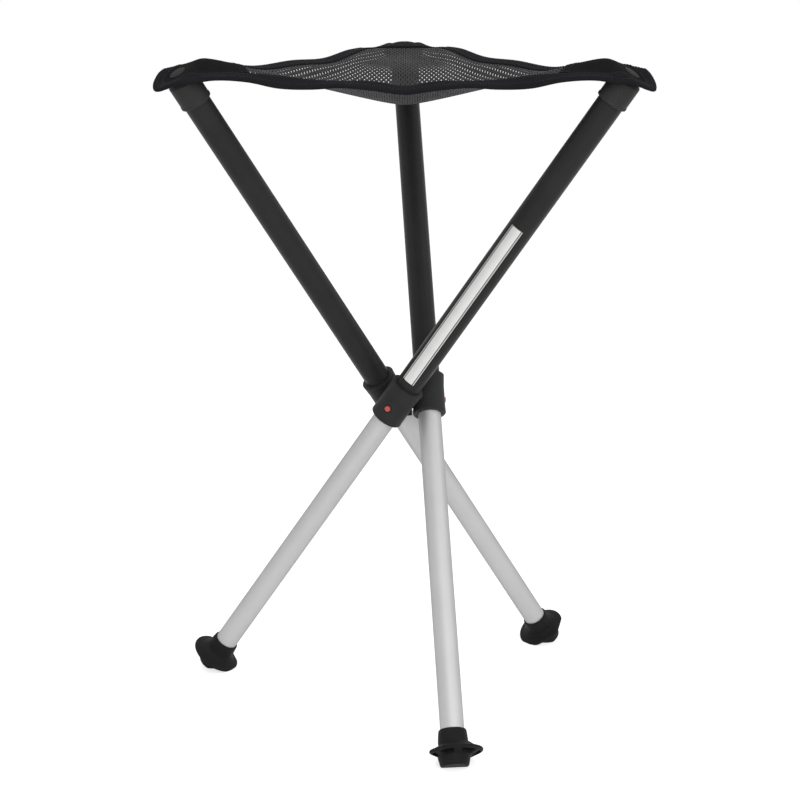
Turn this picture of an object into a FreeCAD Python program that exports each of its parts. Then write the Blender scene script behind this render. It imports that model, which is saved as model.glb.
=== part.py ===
import FreeCAD, Part
import math
import os

from FreeCAD import Matrix, Placement, Rotation, Vector

# Folding stool on three telescopic legs that cross at a central joint, with a mesh sling seat.
# Millimetres. The origin is on the floor, on the stool's axis. +Z is up.
# Each leg is drawn upright about its own axis: x points away from the stool's axis,
# z runs up the leg, and zero is the point where the leg turns on the hub.

# Stance of the legs
LEG_NAMES = ("a", "b", "c")
LEG_COUNT = len(LEG_NAMES)
FIRST_LEG_AZIMUTH = -113.6
LEG_LEAN = 35.52
PIVOT_RADIUS = 24.75
PIVOT_HEIGHT = 305.5
FULL_TURN = 360.0

# Upper tubes
UPPER_TUBE_RADIUS = 13.0
UPPER_TUBE_WALL = 1.25
UPPER_TUBE_START = 8.0
UPPER_TUBE_END = 391.5

# Lower tubes
LOWER_TUBE_RADIUS = 11.5
LOWER_TUBE_WALL = 1.25
LOWER_TUBE_TOP = 70.0
FOOT_RIM_RISE = 37.66

# Fits
RUNNING_GAP = 0.05
SEAT_GAP = 0.03
SLIDE_GAP = 0.1
OVERRUN = 5.0

# Joint sleeves
SLEEVE_RADIUS = 16.4
SLEEVE_TOP = 20.5
SLEEVE_BOTTOM = -20.5
SLEEVE_LIP_RADIUS = 17.3
SLEEVE_LIP_HEIGHT = 2.6
SLEEVE_BELL_RADIUS = 17.6
SLEEVE_BELL_HEIGHT = 13.0
SLEEVE_LIP_BACK_FLAT = 16.4
BOSS_RADIUS = 7.0
BOSS_GAP = 0.05

# Hub, washers and pivot screws
HUB_FLAT_RADIUS = 6.9
HUB_CORNER_RADIUS = 10.5
HUB_HEIGHT = 27.0
HUB_BORE_RADIUS = 1.0
WASHER_THICKNESS = 1.0
WASHER_RADIUS = 6.0
SCREW_RADIUS = 2.5
SCREW_TIP_RADIUS = 2.2
SCREW_HEAD_RADIUS = 4.5
SCREW_HEAD_THICKNESS = 1.5
SCREW_HEAD_ROOM = 0.25
SCREW_HEAD_SINK = 1.9
HEX_SOCKET_RADIUS = 1.6
HEX_SOCKET_DEPTH = 1.0

# Release buttons
BUTTON_RADIUS = 2.8
BUTTON_PROUD = 1.1
BUTTON_DOME = 0.5
BUTTON_FLANGE_RADIUS = 3.7
BUTTON_FLANGE_THICKNESS = 1.4
BUTTON_STOP_DEPTH = 1.5
BUTTON_GAP = 0.08
COUNTERSINK_RADIUS = 4.4
COUNTERSINK_DEPTH = 0.9

# Spring clips that lock the lower tubes
CLIP_WIDTH = 6.0
CLIP_THICKNESS = 0.6
CLIP_LENGTH = 34.0
CLIP_OVERHANG = 6.0
CLIP_BEND_RADIUS = 2.2
CLIP_WALL_GAP = 0.1
LOCK_PIN_RADIUS = 2.4
LOCK_PIN_HOLE_GAP = 0.2

# Guide bushes on the lower tubes
BUSH_HEAD_HEIGHT = 8.0
BUSH_SPIGOT_DEPTH = 12.0
BUSH_BORE_RADIUS = 7.5
BUSH_EDGE = 1.0

# Top caps
CAP_SKIRT = 14.25
CAP_RADIUS = 14.9
CAP_LIP_RADIUS = 15.4
CAP_LIP_HEIGHT = 2.0
CAP_SHOULDER_RISE = 0.5
CAP_FACE_RISE = 15.8
CAP_BULGE_SHARE = 0.06
CAP_FACE_RADIUS = 8.0
CAP_PLUG_DEPTH = 12.0
CAP_WEB_GAP = 0.3
CAP_SCREW_DEPTH = 16.0

# Rubber feet
FOOT_SOCKET_DEPTH = 15.0
FOOT_RIM_RADIUS = 12.9
FOOT_RIM_ROUND = 1.6
FOOT_NECK_RADIUS = 13.5
FOOT_NECK_DROP = 12.5
FLANGE_DROP = 19.2
FLANGE_RADIUS = 23.5
FLANGE_OFFSET = 2.6
FLANGE_EDGE = 2.8
FLANGE_ROOT = 5.4
FOOT_STUB_RADIUS = 13.4
FOOT_SOLE_RADIUS = 12.2
FOOT_LENGTH = 56.0
RIB_COUNT = 6
RIB_WIDTH = 6.2
RIB_REACH = 5.0
RIB_DROP = 9.5
FIRST_RIB_ANGLE = 30.0

# Size plate on one upper tube
PLATE_START = 35.0
PLATE_LENGTH = 194.0
PLATE_ANGLE = 59.0
PLATE_THICKNESS = 0.25

# Seat sling
SEAT_REST_GAP = 0.3
TIP_RADIUS = 24.5
EDGE_MID_RADIUS = 112.0
BELLY_DROP = 35.7
BELLY_ROUND = 15.0
CORNER_RISE_SHARE = 0.248
FRONT_RISE_SHARE = 0.255
REAR_RISE_SHARE = 0.4
HUMP_ROUND = 3.0
RIM_REACH = 28.0
CLAMP_RADIUS = 20.0
# Drops below the rivets along half of the front edge, from its middle to a corner
FRONT_HEM_TOP_DROPS = (12.1, 9.1, 4.9, 1.7)
FRONT_HEM_LOW_DROPS = (18.3, 14.9, 8.7, 4.9)
# Rises above the rivets along a rear edge, from the front corner to the rear corner
REAR_EDGE_RISES = (3.3, 4.8, 0.0, 1.7, 6.7, 8.3, 4.3)
REAR_BAND_RISE = 4.0
MESH_THICKNESS = 1.2
BINDING_WIDTH = 11.0
BINDING_THICKNESS = 1.0
LAYER_GAP = 0.1
PANEL_START = 180.0
TIP_STEPS = 6
EDGE_STEPS = 8
INNER_RING_SHARES = (0.33, 0.66)
CORNER_RING_SHARES = (0.47, 0.68)
PLAIN_SEAM_SHARE = 0.82
FRONT_EDGE_AZIMUTH = -90.0

# Seat rivets
RIVET_HEAD_RADIUS = 8.0
RIVET_HEAD_HEIGHT = 1.9
RIVET_RIM_HEIGHT = 0.7
RIVET_SHANK_RADIUS = 2.6

UP = Vector(0, 0, 1)
OUTWARD = Vector(1, 0, 0)
ORIGIN = Vector(0, 0, 0)

upper_tube_bore = UPPER_TUBE_RADIUS - UPPER_TUBE_WALL
lower_tube_bore = LOWER_TUBE_RADIUS - LOWER_TUBE_WALL
sleeve_bore = LOWER_TUBE_RADIUS + SLIDE_GAP
foot_rim_drop = PIVOT_HEIGHT / math.cos(math.radians(LEG_LEAN)) - FOOT_RIM_RISE
lower_tube_end = -foot_rim_drop - FOOT_SOCKET_DEPTH
cap_shoulder = UPPER_TUBE_END + CAP_SHOULDER_RISE
cap_end = UPPER_TUBE_END + CAP_FACE_RISE
seat_rivet_height = cap_end + SEAT_REST_GAP + MESH_THICKNESS / 2
hub_face = HUB_FLAT_RADIUS - PIVOT_RADIUS
boss_face = hub_face + WASHER_THICKNESS + BOSS_GAP
lock_pin_tip = SLEEVE_RADIUS - BUTTON_STOP_DEPTH - BUTTON_FLANGE_THICKNESS - BUTTON_GAP
rivet_seat = seat_rivet_height + MESH_THICKNESS / 2 + LAYER_GAP + BINDING_THICKNESS + LAYER_GAP


# Helpers
def leg_azimuth(index):
    return FIRST_LEG_AZIMUTH + index * FULL_TURN / LEG_COUNT


def leg_placement(index):
    """Carries a leg drawn upright about its own axis to its place in the open stool."""
    lean = Placement(Vector(PIVOT_RADIUS, 0, PIVOT_HEIGHT), Rotation(OUTWARD, -LEG_LEAN))
    return Placement(ORIGIN, Rotation(UP, leg_azimuth(index))).multiply(lean)


def on_leg(shape, index):
    placed = shape.copy()
    placed.Placement = leg_placement(index)
    return placed


def ring(outer, inner, low, high):
    body = Part.makeCylinder(outer, high - low, Vector(0, 0, low))
    if inner > 0:
        hole = Part.makeCylinder(inner, high - low + 2 * OVERRUN, Vector(0, 0, low - OVERRUN))
        body = body.cut(hole)
    return body


def rod(radius, start, end):
    """A round bar along the leg's own x axis, which is where the leg turns."""
    return Part.makeCylinder(radius, end - start, Vector(start, 0, 0), OUTWARD)


def turned(points):
    """A solid of revolution about the leg's axis from (radius, height) points."""
    corners = [Vector(radius, 0, height) for radius, height in points]
    return Part.Face(Part.makePolygon(corners + corners[:1])).revolve(ORIGIN, UP, FULL_TURN)


def turned_arc(points, arcs):
    """As turned, with arcs given as {index of the side: middle point of its arc}."""
    corners = [Vector(radius, 0, height) for radius, height in points]
    sides = []
    for index, corner in enumerate(corners):
        after = corners[(index + 1) % len(corners)]
        if index in arcs:
            middle = Vector(arcs[index][0], 0, arcs[index][1])
            sides.append(Part.Arc(corner, middle, after).toShape())
        else:
            sides.append(Part.LineSegment(corner, after).toShape())
    return Part.Face(Part.Wire(sides)).revolve(ORIGIN, UP, FULL_TURN)


def save(shape, name):
    solid = shape.Solids[0] if len(shape.Solids) == 1 else shape
    solid.exportStep("parts/" + name + ".step")


# Central joint
def hub():
    body = Part.makeCylinder(HUB_CORNER_RADIUS, HUB_HEIGHT, Vector(0, 0, -HUB_HEIGHT / 2))
    for index in range(LEG_COUNT):
        waste = Part.makeBox(
            HUB_CORNER_RADIUS,
            2 * HUB_CORNER_RADIUS,
            HUB_HEIGHT + 2 * OVERRUN,
            Vector(HUB_FLAT_RADIUS, -HUB_CORNER_RADIUS, -HUB_HEIGHT / 2 - OVERRUN),
        )
        waste.rotate(ORIGIN, UP, leg_azimuth(index))
        body = body.cut(waste)
        hole = rod(SCREW_RADIUS + SEAT_GAP, 0, HUB_CORNER_RADIUS)
        hole.rotate(ORIGIN, UP, leg_azimuth(index))
        body = body.cut(hole)
    bore = ring(HUB_BORE_RADIUS, 0, -HUB_HEIGHT / 2 - OVERRUN, HUB_HEIGHT / 2 + OVERRUN)
    body = body.cut(bore)
    body.translate(Vector(0, 0, PIVOT_HEIGHT))
    return body


def pivot_washer():
    washer = rod(WASHER_RADIUS, hub_face, hub_face + WASHER_THICKNESS)
    return washer.cut(rod(SCREW_RADIUS + RUNNING_GAP, hub_face - OVERRUN, hub_face + OVERRUN))


def pivot_screw():
    head_start = -sleeve_bore - SCREW_HEAD_SINK + RUNNING_GAP
    shank = rod(SCREW_RADIUS, SCREW_TIP_RADIUS - PIVOT_RADIUS, head_start)
    head = rod(SCREW_HEAD_RADIUS, head_start, head_start + SCREW_HEAD_THICKNESS)
    head_end = head_start + SCREW_HEAD_THICKNESS
    flats = LEG_COUNT * 2
    corners = []
    for step in range(flats):
        turn = math.radians(step * FULL_TURN / flats)
        corners.append(
            Vector(
                head_end - HEX_SOCKET_DEPTH,
                HEX_SOCKET_RADIUS * math.cos(turn),
                HEX_SOCKET_RADIUS * math.sin(turn),
            )
        )
    socket = Part.Face(Part.makePolygon(corners + corners[:1])).extrude(OUTWARD * OVERRUN)
    return shank.fuse(head).cut(socket).removeSplitter()


def joint_sleeve():
    """Sleeve that grips the upper tube, guides the lower tube and turns on the hub."""
    profile = [
        (SLEEVE_BELL_RADIUS, SLEEVE_BOTTOM),
        (SLEEVE_BELL_RADIUS, SLEEVE_BOTTOM + SLEEVE_LIP_HEIGHT),
        (SLEEVE_RADIUS, SLEEVE_BOTTOM + SLEEVE_BELL_HEIGHT),
        (SLEEVE_RADIUS, SLEEVE_TOP - 2 * SLEEVE_LIP_HEIGHT),
        (SLEEVE_LIP_RADIUS, SLEEVE_TOP - SLEEVE_LIP_HEIGHT),
        (SLEEVE_LIP_RADIUS, SLEEVE_TOP),
        (0, SLEEVE_TOP),
        (0, SLEEVE_BOTTOM),
    ]
    body = turned(profile)
    back = Part.makeBox(
        SLEEVE_BELL_RADIUS,
        2 * SLEEVE_BELL_RADIUS,
        SLEEVE_TOP - SLEEVE_BOTTOM + 2 * OVERRUN,
        Vector(-SLEEVE_LIP_BACK_FLAT - SLEEVE_BELL_RADIUS, -SLEEVE_BELL_RADIUS, SLEEVE_BOTTOM - OVERRUN),
    )
    body = body.cut(back)
    body = body.fuse(rod(BOSS_RADIUS, boss_face, -sleeve_bore))
    body = body.cut(ring(sleeve_bore, 0, SLEEVE_BOTTOM - OVERRUN, SLEEVE_TOP))
    body = body.cut(ring(UPPER_TUBE_RADIUS + SEAT_GAP, 0, UPPER_TUBE_START, SLEEVE_TOP + OVERRUN))
    body = body.cut(rod(SCREW_RADIUS + RUNNING_GAP, boss_face - OVERRUN, 0))
    body = body.cut(rod(SCREW_HEAD_RADIUS + SCREW_HEAD_ROOM, -sleeve_bore - SCREW_HEAD_SINK, 0))
    body = body.cut(rod(BUTTON_RADIUS + BUTTON_GAP, 0, SLEEVE_RADIUS + OVERRUN))
    body = body.cut(rod(BUTTON_FLANGE_RADIUS + BUTTON_GAP, 0, SLEEVE_RADIUS - BUTTON_STOP_DEPTH))
    countersink = Part.makeCone(
        BUTTON_RADIUS + BUTTON_GAP,
        COUNTERSINK_RADIUS,
        COUNTERSINK_DEPTH,
        Vector(SLEEVE_RADIUS - COUNTERSINK_DEPTH, 0, 0),
        OUTWARD,
    )
    return body.cut(countersink).removeSplitter()


def release_button():
    flange_start = SLEEVE_RADIUS - BUTTON_STOP_DEPTH - BUTTON_GAP - BUTTON_FLANGE_THICKNESS + BUTTON_GAP / 2
    flange_end = flange_start + BUTTON_FLANGE_THICKNESS
    head_end = SLEEVE_RADIUS + BUTTON_PROUD
    flange = rod(BUTTON_FLANGE_RADIUS, flange_start, flange_end)
    stem = rod(BUTTON_RADIUS, flange_start, head_end - BUTTON_DOME)
    dome = Part.makeCone(
        BUTTON_RADIUS, BUTTON_RADIUS - BUTTON_DOME, BUTTON_DOME, Vector(head_end - BUTTON_DOME, 0, 0), OUTWARD
    )
    return flange.fuse(stem).fuse(dome).removeSplitter()


# Legs
def upper_tube():
    return ring(UPPER_TUBE_RADIUS, upper_tube_bore, UPPER_TUBE_START, UPPER_TUBE_END)


def lower_tube():
    tube = ring(LOWER_TUBE_RADIUS, lower_tube_bore, lower_tube_end, LOWER_TUBE_TOP)
    return tube.cut(rod(LOCK_PIN_RADIUS + LOCK_PIN_HOLE_GAP, 0, LOWER_TUBE_RADIUS + OVERRUN))


def guide_bush():
    head_radius = upper_tube_bore - RUNNING_GAP
    spigot_radius = lower_tube_bore - RUNNING_GAP
    top = LOWER_TUBE_TOP + BUSH_HEAD_HEIGHT
    profile = [
        (BUSH_BORE_RADIUS, LOWER_TUBE_TOP - BUSH_SPIGOT_DEPTH),
        (spigot_radius, LOWER_TUBE_TOP - BUSH_SPIGOT_DEPTH),
        (spigot_radius, LOWER_TUBE_TOP),
        (head_radius, LOWER_TUBE_TOP),
        (head_radius, top - BUSH_EDGE),
        (head_radius - BUSH_EDGE, top),
        (BUSH_BORE_RADIUS, top),
    ]
    return turned(profile)


def lock_clip():
    """V spring inside the lower tube, with the pin that locks it to the sleeve."""
    half_width = CLIP_WIDTH / 2
    outer = math.sqrt(lower_tube_bore**2 - half_width**2) - CLIP_WALL_GAP
    inner = outer - CLIP_THICKNESS
    bend_inner = CLIP_BEND_RADIUS - CLIP_THICKNESS
    bottom = -CLIP_LENGTH
    outside = [Vector(outer, 0, CLIP_OVERHANG), Vector(outer, 0, -CLIP_OVERHANG), Vector(CLIP_BEND_RADIUS, 0, bottom)]
    inside = [Vector(bend_inner, 0, bottom), Vector(inner, 0, -CLIP_OVERHANG), Vector(inner, 0, CLIP_OVERHANG)]

    def mirrored(points):
        return [Vector(-point.x, 0, point.z) for point in reversed(points)]

    left_outside = mirrored(outside)
    left_inside = mirrored(inside)
    sides = [
        Part.makePolygon(outside),
        Part.Arc(outside[-1], Vector(0, 0, bottom - CLIP_BEND_RADIUS), left_outside[0]).toShape(),
        Part.makePolygon(left_outside),
        Part.LineSegment(left_outside[-1], left_inside[0]).toShape(),
        Part.makePolygon(left_inside),
        Part.Arc(left_inside[-1], Vector(0, 0, bottom - bend_inner), inside[0]).toShape(),
        Part.makePolygon(inside),
        Part.LineSegment(inside[-1], outside[0]).toShape(),
    ]
    edges = [edge for side in sides for edge in side.Edges]
    strip = Part.Face(Part.Wire(Part.__sortEdges__(edges))).extrude(Vector(0, CLIP_WIDTH, 0))
    strip.translate(Vector(0, -half_width, 0))
    pin = rod(LOCK_PIN_RADIUS, inner, lock_pin_tip)
    return strip.fuse(pin).removeSplitter()


def top_cap():
    """Collar over the upper tube with a plug inside it and a face for the seat."""
    socket = UPPER_TUBE_RADIUS + SEAT_GAP
    plug = upper_tube_bore - RUNNING_GAP
    web = UPPER_TUBE_END + CAP_WEB_GAP
    screw = RIVET_SHANK_RADIUS + SEAT_GAP
    start = UPPER_TUBE_END - CAP_SKIRT
    profile = [
        (socket, start),
        (CAP_LIP_RADIUS, start),
        (CAP_LIP_RADIUS, start + CAP_LIP_HEIGHT),
        (CAP_RADIUS, start + 2 * CAP_LIP_HEIGHT),
        (CAP_RADIUS, cap_shoulder),
        (CAP_FACE_RADIUS, cap_end),
        (screw, cap_end),
        (screw, cap_end - CAP_SCREW_DEPTH),
        (0, cap_end - CAP_SCREW_DEPTH),
        (0, web - CAP_PLUG_DEPTH),
        (plug, web - CAP_PLUG_DEPTH),
        (plug, web),
        (socket, web),
    ]
    shoulder_middle = (
        (CAP_RADIUS + CAP_FACE_RADIUS) / 2 + (CAP_RADIUS - CAP_FACE_RADIUS) * CAP_BULGE_SHARE,
        (cap_shoulder + cap_end) / 2 + (cap_end - cap_shoulder) * CAP_BULGE_SHARE,
    )
    return turned_arc(profile, {4: shoulder_middle})


def rubber_foot(index):
    """Cup round the tube, a wide flange set off to the outside, ribs and a stub."""
    rim = -foot_rim_drop
    neck = rim - FOOT_NECK_DROP
    flange = rim - FLANGE_DROP
    profile = [
        (0, rim),
        (FOOT_RIM_RADIUS - FOOT_RIM_ROUND, rim),
        (FOOT_RIM_RADIUS, rim - FOOT_RIM_ROUND),
        (FOOT_NECK_RADIUS, neck),
        (FOOT_STUB_RADIUS, flange),
        (FOOT_SOLE_RADIUS, rim - FOOT_LENGTH),
        (0, rim - FOOT_LENGTH),
    ]
    bend = FOOT_RIM_ROUND * math.cos(math.radians(FULL_TURN / 8))
    rim_middle = (FOOT_RIM_RADIUS - FOOT_RIM_ROUND + bend, rim - FOOT_RIM_ROUND + bend)
    body = turned_arc(profile, {1: rim_middle})
    disc_profile = [
        (0, flange + FLANGE_EDGE / 2 + FLANGE_ROOT),
        (FOOT_STUB_RADIUS, flange + FLANGE_EDGE / 2 + FLANGE_ROOT),
        (FLANGE_RADIUS - FLANGE_EDGE / 2, flange + FLANGE_EDGE / 2),
        (FLANGE_RADIUS - FLANGE_EDGE / 2, flange - FLANGE_EDGE / 2),
        (0, flange - FLANGE_EDGE / 2),
    ]
    hollow = (
        (FOOT_STUB_RADIUS + FLANGE_RADIUS) / 2 - FLANGE_EDGE / 2,
        flange + FLANGE_EDGE / 2 + FLANGE_ROOT / 5,
    )
    disc = turned_arc(disc_profile, {1: hollow, 2: (FLANGE_RADIUS, flange)})
    disc.translate(Vector(FLANGE_OFFSET, 0, 0))
    body = body.fuse(disc)
    for step in range(RIB_COUNT):
        tip = FLANGE_RADIUS - RIB_REACH / 2
        low = flange - FLANGE_EDGE / 2
        outline = [
            Vector(0, 0, flange),
            Vector(tip, 0, flange),
            Vector(tip, 0, low),
            Vector(FOOT_STUB_RADIUS, 0, low - RIB_DROP),
            Vector(0, 0, low - RIB_DROP),
        ]
        rib = Part.Face(Part.makePolygon(outline + outline[:1])).extrude(Vector(0, RIB_WIDTH, 0))
        rib.translate(Vector(0, -RIB_WIDTH / 2, 0))
        rib.rotate(ORIGIN, UP, FIRST_RIB_ANGLE + step * FULL_TURN / RIB_COUNT)
        rib.translate(Vector(FLANGE_OFFSET / 2, 0, 0))
        body = body.fuse(rib)
    body = body.cut(ring(LOWER_TUBE_RADIUS + SEAT_GAP, 0, rim - FOOT_SOCKET_DEPTH, rim + OVERRUN))
    placed = on_leg(body, index)
    reach = 2 * (FLANGE_RADIUS + FOOT_LENGTH + foot_rim_drop)
    floor = Part.makeBox(2 * reach, 2 * reach, reach, Vector(-reach, -reach, -reach))
    return placed.cut(floor).removeSplitter()


def size_plate():
    inner = UPPER_TUBE_RADIUS + SEAT_GAP
    plate = ring(inner + PLATE_THICKNESS, inner, PLATE_START, PLATE_START + PLATE_LENGTH)
    wedge = Part.makeCylinder(
        SLEEVE_RADIUS, PLATE_LENGTH + 2 * OVERRUN, Vector(0, 0, PLATE_START - OVERRUN), UP, PLATE_ANGLE
    )
    wedge.rotate(ORIGIN, UP, -PLATE_ANGLE / 2)
    return plate.common(wedge)


def seat_rivet():
    shank_end = cap_end - CAP_SCREW_DEPTH + SLIDE_GAP
    profile = [
        (0, shank_end),
        (RIVET_SHANK_RADIUS, shank_end),
        (RIVET_SHANK_RADIUS, rivet_seat),
        (RIVET_HEAD_RADIUS, rivet_seat),
        (RIVET_HEAD_RADIUS, rivet_seat + RIVET_RIM_HEIGHT),
        (0, rivet_seat + RIVET_HEAD_HEIGHT),
    ]
    return turned(profile)


# Seat sling: each layer is a shell of flat faces on one shared net of points
def rivet_point(index):
    return leg_placement(index).multVec(Vector(0, 0, seat_rivet_height))


def leg_direction(index):
    return leg_placement(index).Rotation.multVec(UP)


RIVETS = [rivet_point(index) for index in range(LEG_COUNT)]
corner_radius = math.hypot(RIVETS[0].x, RIVETS[0].y)
edge_across = corner_radius * math.cos(math.radians(FULL_TURN / 6))
edge_along = corner_radius * math.sin(math.radians(FULL_TURN / 6))
rivet_level = RIVETS[0].z
edge_curve_radius = (
    (edge_across - EDGE_MID_RADIUS) ** 2 + edge_along**2 - TIP_RADIUS**2
) / (2 * (TIP_RADIUS + edge_across - EDGE_MID_RADIUS))


def corner_azimuth(index):
    return math.atan2(RIVETS[index].y, RIVETS[index].x)


def edge_centre(index):
    """Centre of the arc of the seat's edge that follows corner number index."""
    turn = corner_azimuth(index) + math.radians(FULL_TURN / 6)
    reach = EDGE_MID_RADIUS + edge_curve_radius
    return Vector(reach * math.cos(turn), reach * math.sin(turn), 0)


def is_front(index):
    turn = corner_azimuth(index) + math.radians(FULL_TURN / 6)
    return math.cos(turn - math.radians(FRONT_EDGE_AZIMUTH)) > math.cos(math.radians(FULL_TURN / 12))


def outline_points():
    """Points round the seat's edge, in order."""
    found = []
    for index in range(LEG_COUNT):
        centre = Vector(RIVETS[index].x, RIVETS[index].y, 0)
        before = edge_centre((index - 1) % LEG_COUNT) - centre
        after = edge_centre(index) - centre
        start = math.atan2(before.y, before.x)
        sweep = (math.atan2(after.y, after.x) - start) % math.radians(FULL_TURN)
        for step in range(TIP_STEPS + 1):
            turn = start + sweep * step / TIP_STEPS
            point = centre + Vector(TIP_RADIUS * math.cos(turn), TIP_RADIUS * math.sin(turn), 0)
            found.append(point)
        middle = edge_centre(index)
        following = Vector(RIVETS[(index + 1) % LEG_COUNT].x, RIVETS[(index + 1) % LEG_COUNT].y, 0)
        from_turn = math.atan2(centre.y - middle.y, centre.x - middle.x)
        to_turn = math.atan2(following.y - middle.y, following.x - middle.x)
        swing = (to_turn - from_turn + math.pi) % math.radians(FULL_TURN) - math.pi
        for step in range(1, EDGE_STEPS):
            turn = from_turn + swing * step / EDGE_STEPS
            point = middle + Vector(edge_curve_radius * math.cos(turn), edge_curve_radius * math.sin(turn), 0)
            found.append(point)
    return found


def wrapped(turn):
    return (turn + math.pi) % math.radians(FULL_TURN) - math.pi


def tip_half_turn():
    """Half of the angle that the round tip of a corner sweeps about its rivet."""
    to_edge = edge_centre(0) - Vector(RIVETS[0].x, RIVETS[0].y, 0)
    return wrapped(math.atan2(to_edge.y, to_edge.x) - corner_azimuth(0))


def edge_half_turn():
    """Half of the angle that an edge sweeps about its own centre."""
    to_rivet = Vector(RIVETS[0].x, RIVETS[0].y, 0) - edge_centre(0)
    middle = corner_azimuth(0) + math.radians(FULL_TURN / 6) + math.pi
    return abs(wrapped(math.atan2(to_rivet.y, to_rivet.x) - middle))


TIP_HALF_TURN = tip_half_turn()
EDGE_HALF_TURN = edge_half_turn()


def nearest_edge(x, y):
    """Edge beside a point, place along it from -1 to 1, inset from it and its hold on the height."""
    for index in range(LEG_COUNT):
        away = Vector(x - RIVETS[index].x, y - RIVETS[index].y, 0)
        turn = wrapped(math.atan2(away.y, away.x) - corner_azimuth(index))
        if abs(turn) < TIP_HALF_TURN:
            edge = index if turn > 0 else (index - 1) % LEG_COUNT
            place = -1.0 if turn > 0 else 1.0
            return edge, place, TIP_RADIUS - away.Length, (turn / TIP_HALF_TURN) ** 2
    gaps = [(Vector(x, y, 0) - edge_centre(edge)).Length - edge_curve_radius for edge in range(LEG_COUNT)]
    edge = gaps.index(min(gaps))
    centre = edge_centre(edge)
    middle = corner_azimuth(edge) + math.radians(FULL_TURN / 6) + math.pi
    place = -wrapped(math.atan2(y - centre.y, x - centre.x) - middle) / EDGE_HALF_TURN
    return edge, max(-1.0, min(1.0, place)), gaps[edge], 1.0


def inset(x, y):
    """How far a point lies inside the seat's edge."""
    return nearest_edge(x, y)[2]


def eased(share):
    """A share from 0 to 1 that starts and ends gently."""
    kept = max(0.0, min(1.0, share))
    return kept * kept * (3 - 2 * kept)


def read_along(values, share):
    """Height at a share of the way along a list of evenly spaced heights."""
    place = share * (len(values) - 1)
    before = min(int(place), len(values) - 2)
    return values[before] + (values[before + 1] - values[before]) * (place - before)


def sling_height(x, y):
    """Height of the sling before its edges are pulled up or down by the binding."""
    reach = math.hypot(x, y)
    turn = math.atan2(y, x)
    corner_share = (1 + math.cos(LEG_COUNT * (turn - corner_azimuth(0)))) / 2
    front = abs(wrapped(turn - math.radians(FRONT_EDGE_AZIMUTH))) < math.radians(FULL_TURN / 6)
    edge_rise_share = FRONT_RISE_SHARE if front else REAR_RISE_SHARE
    rise = edge_rise_share + (CORNER_RISE_SHARE - edge_rise_share) * corner_share
    sling = rivet_level - BELLY_DROP + rise * (math.sqrt(reach**2 + BELLY_ROUND**2) - BELLY_ROUND)
    nearest = min(range(LEG_COUNT), key=lambda index: (Vector(x, y, 0) - RIVETS[index]).Length)
    up = leg_direction(nearest)
    rivet = RIVETS[nearest]
    face = rivet.z - (up.x * (x - rivet.x) + up.y * (y - rivet.y)) / up.z
    low = min(sling, face)
    high = max(sling, face)
    return low - HUMP_ROUND * math.log(1 + math.exp((low - high) / HUMP_ROUND))


def sheet_height(x, y):
    height = sling_height(x, y)
    edge, place, depth, hold = nearest_edge(x, y)
    if depth > RIM_REACH:
        return height
    from_rivet = min(math.hypot(x - rivet.x, y - rivet.y) for rivet in RIVETS)
    hold *= eased((from_rivet - CLAMP_RADIUS) / (TIP_RADIUS - CLAMP_RADIUS))
    if is_front(edge):
        hem_top = rivet_level - read_along(FRONT_HEM_TOP_DROPS, abs(place))
        hem_low = rivet_level - read_along(FRONT_HEM_LOW_DROPS, abs(place))
    else:
        towards_back = place if is_front((edge - 1) % LEG_COUNT) else -place
        hem_low = rivet_level + read_along(REAR_EDGE_RISES, (1 + towards_back) / 2)
        hem_top = hem_low - REAR_BAND_RISE
    if depth < BINDING_WIDTH:
        rim = hem_low + (hem_top - hem_low) * depth / BINDING_WIDTH
        return height + (rim - height) * hold
    share = eased((RIM_REACH - depth) / (RIM_REACH - BINDING_WIDTH))
    return height + (hem_top - height) * hold * share


def share_at_inset(point, wanted):
    """The share of the way from the centre to an edge point at which the inset is as wanted."""
    low, high = 0.5, 1.0
    for _ in range(40):
        middle = (low + high) / 2
        if inset(point.x * middle, point.y * middle) > wanted:
            low = middle
        else:
            high = middle
    return low


def net():
    """Columns of points from the centre to the edge, and each column's corner or None."""
    columns = []
    owners = []
    for point in outline_points():
        binding = share_at_inset(point, BINDING_WIDTH)
        owner = None
        seam = PLAIN_SEAM_SHARE * binding
        for index in range(LEG_COUNT):
            turn = corner_azimuth(index)
            along = point.x * math.cos(turn) + point.y * math.sin(turn)
            if along > 0 and PANEL_START / along < binding - (1 - PLAIN_SEAM_SHARE) / 4:
                owner = index
                seam = PANEL_START / along
        shares = [seam * share for share in INNER_RING_SHARES] + [seam]
        shares += [seam + (binding - seam) * share for share in CORNER_RING_SHARES]
        shares += [binding, 1.0]
        columns.append([(point.x * share, point.y * share) for share in shares])
        owners.append(owner)
    return columns, owners


COLUMNS, OWNERS = net()
SEAM_ROW = len(INNER_RING_SHARES)
BINDING_ROW = SEAM_ROW + len(CORNER_RING_SHARES) + 1
EDGE_ROW = BINDING_ROW + 1
# The sides of the binding's section that run from the edge towards the seat's middle
INWARD_SIDES = (3, 4, 9, 10)


def surface_normal(x, y):
    step = MESH_THICKNESS
    slope_x = (sheet_height(x + step, y) - sheet_height(x - step, y)) / (2 * step)
    slope_y = (sheet_height(x, y + step) - sheet_height(x, y - step)) / (2 * step)
    return Vector(-slope_x, -slope_y, 1).normalize()


def lifted(x, y, height):
    base = Vector(x, y, sheet_height(x, y))
    return base + surface_normal(x, y) * height


def closed_solid(corners):
    faces = []
    for first, second, third in corners:
        faces.append(Part.Face(Part.makePolygon([first, second, third, first])))
    solid = Part.Solid(Part.Shell(faces))
    if solid.Volume < 0:
        solid.reverse()
    return solid


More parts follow.
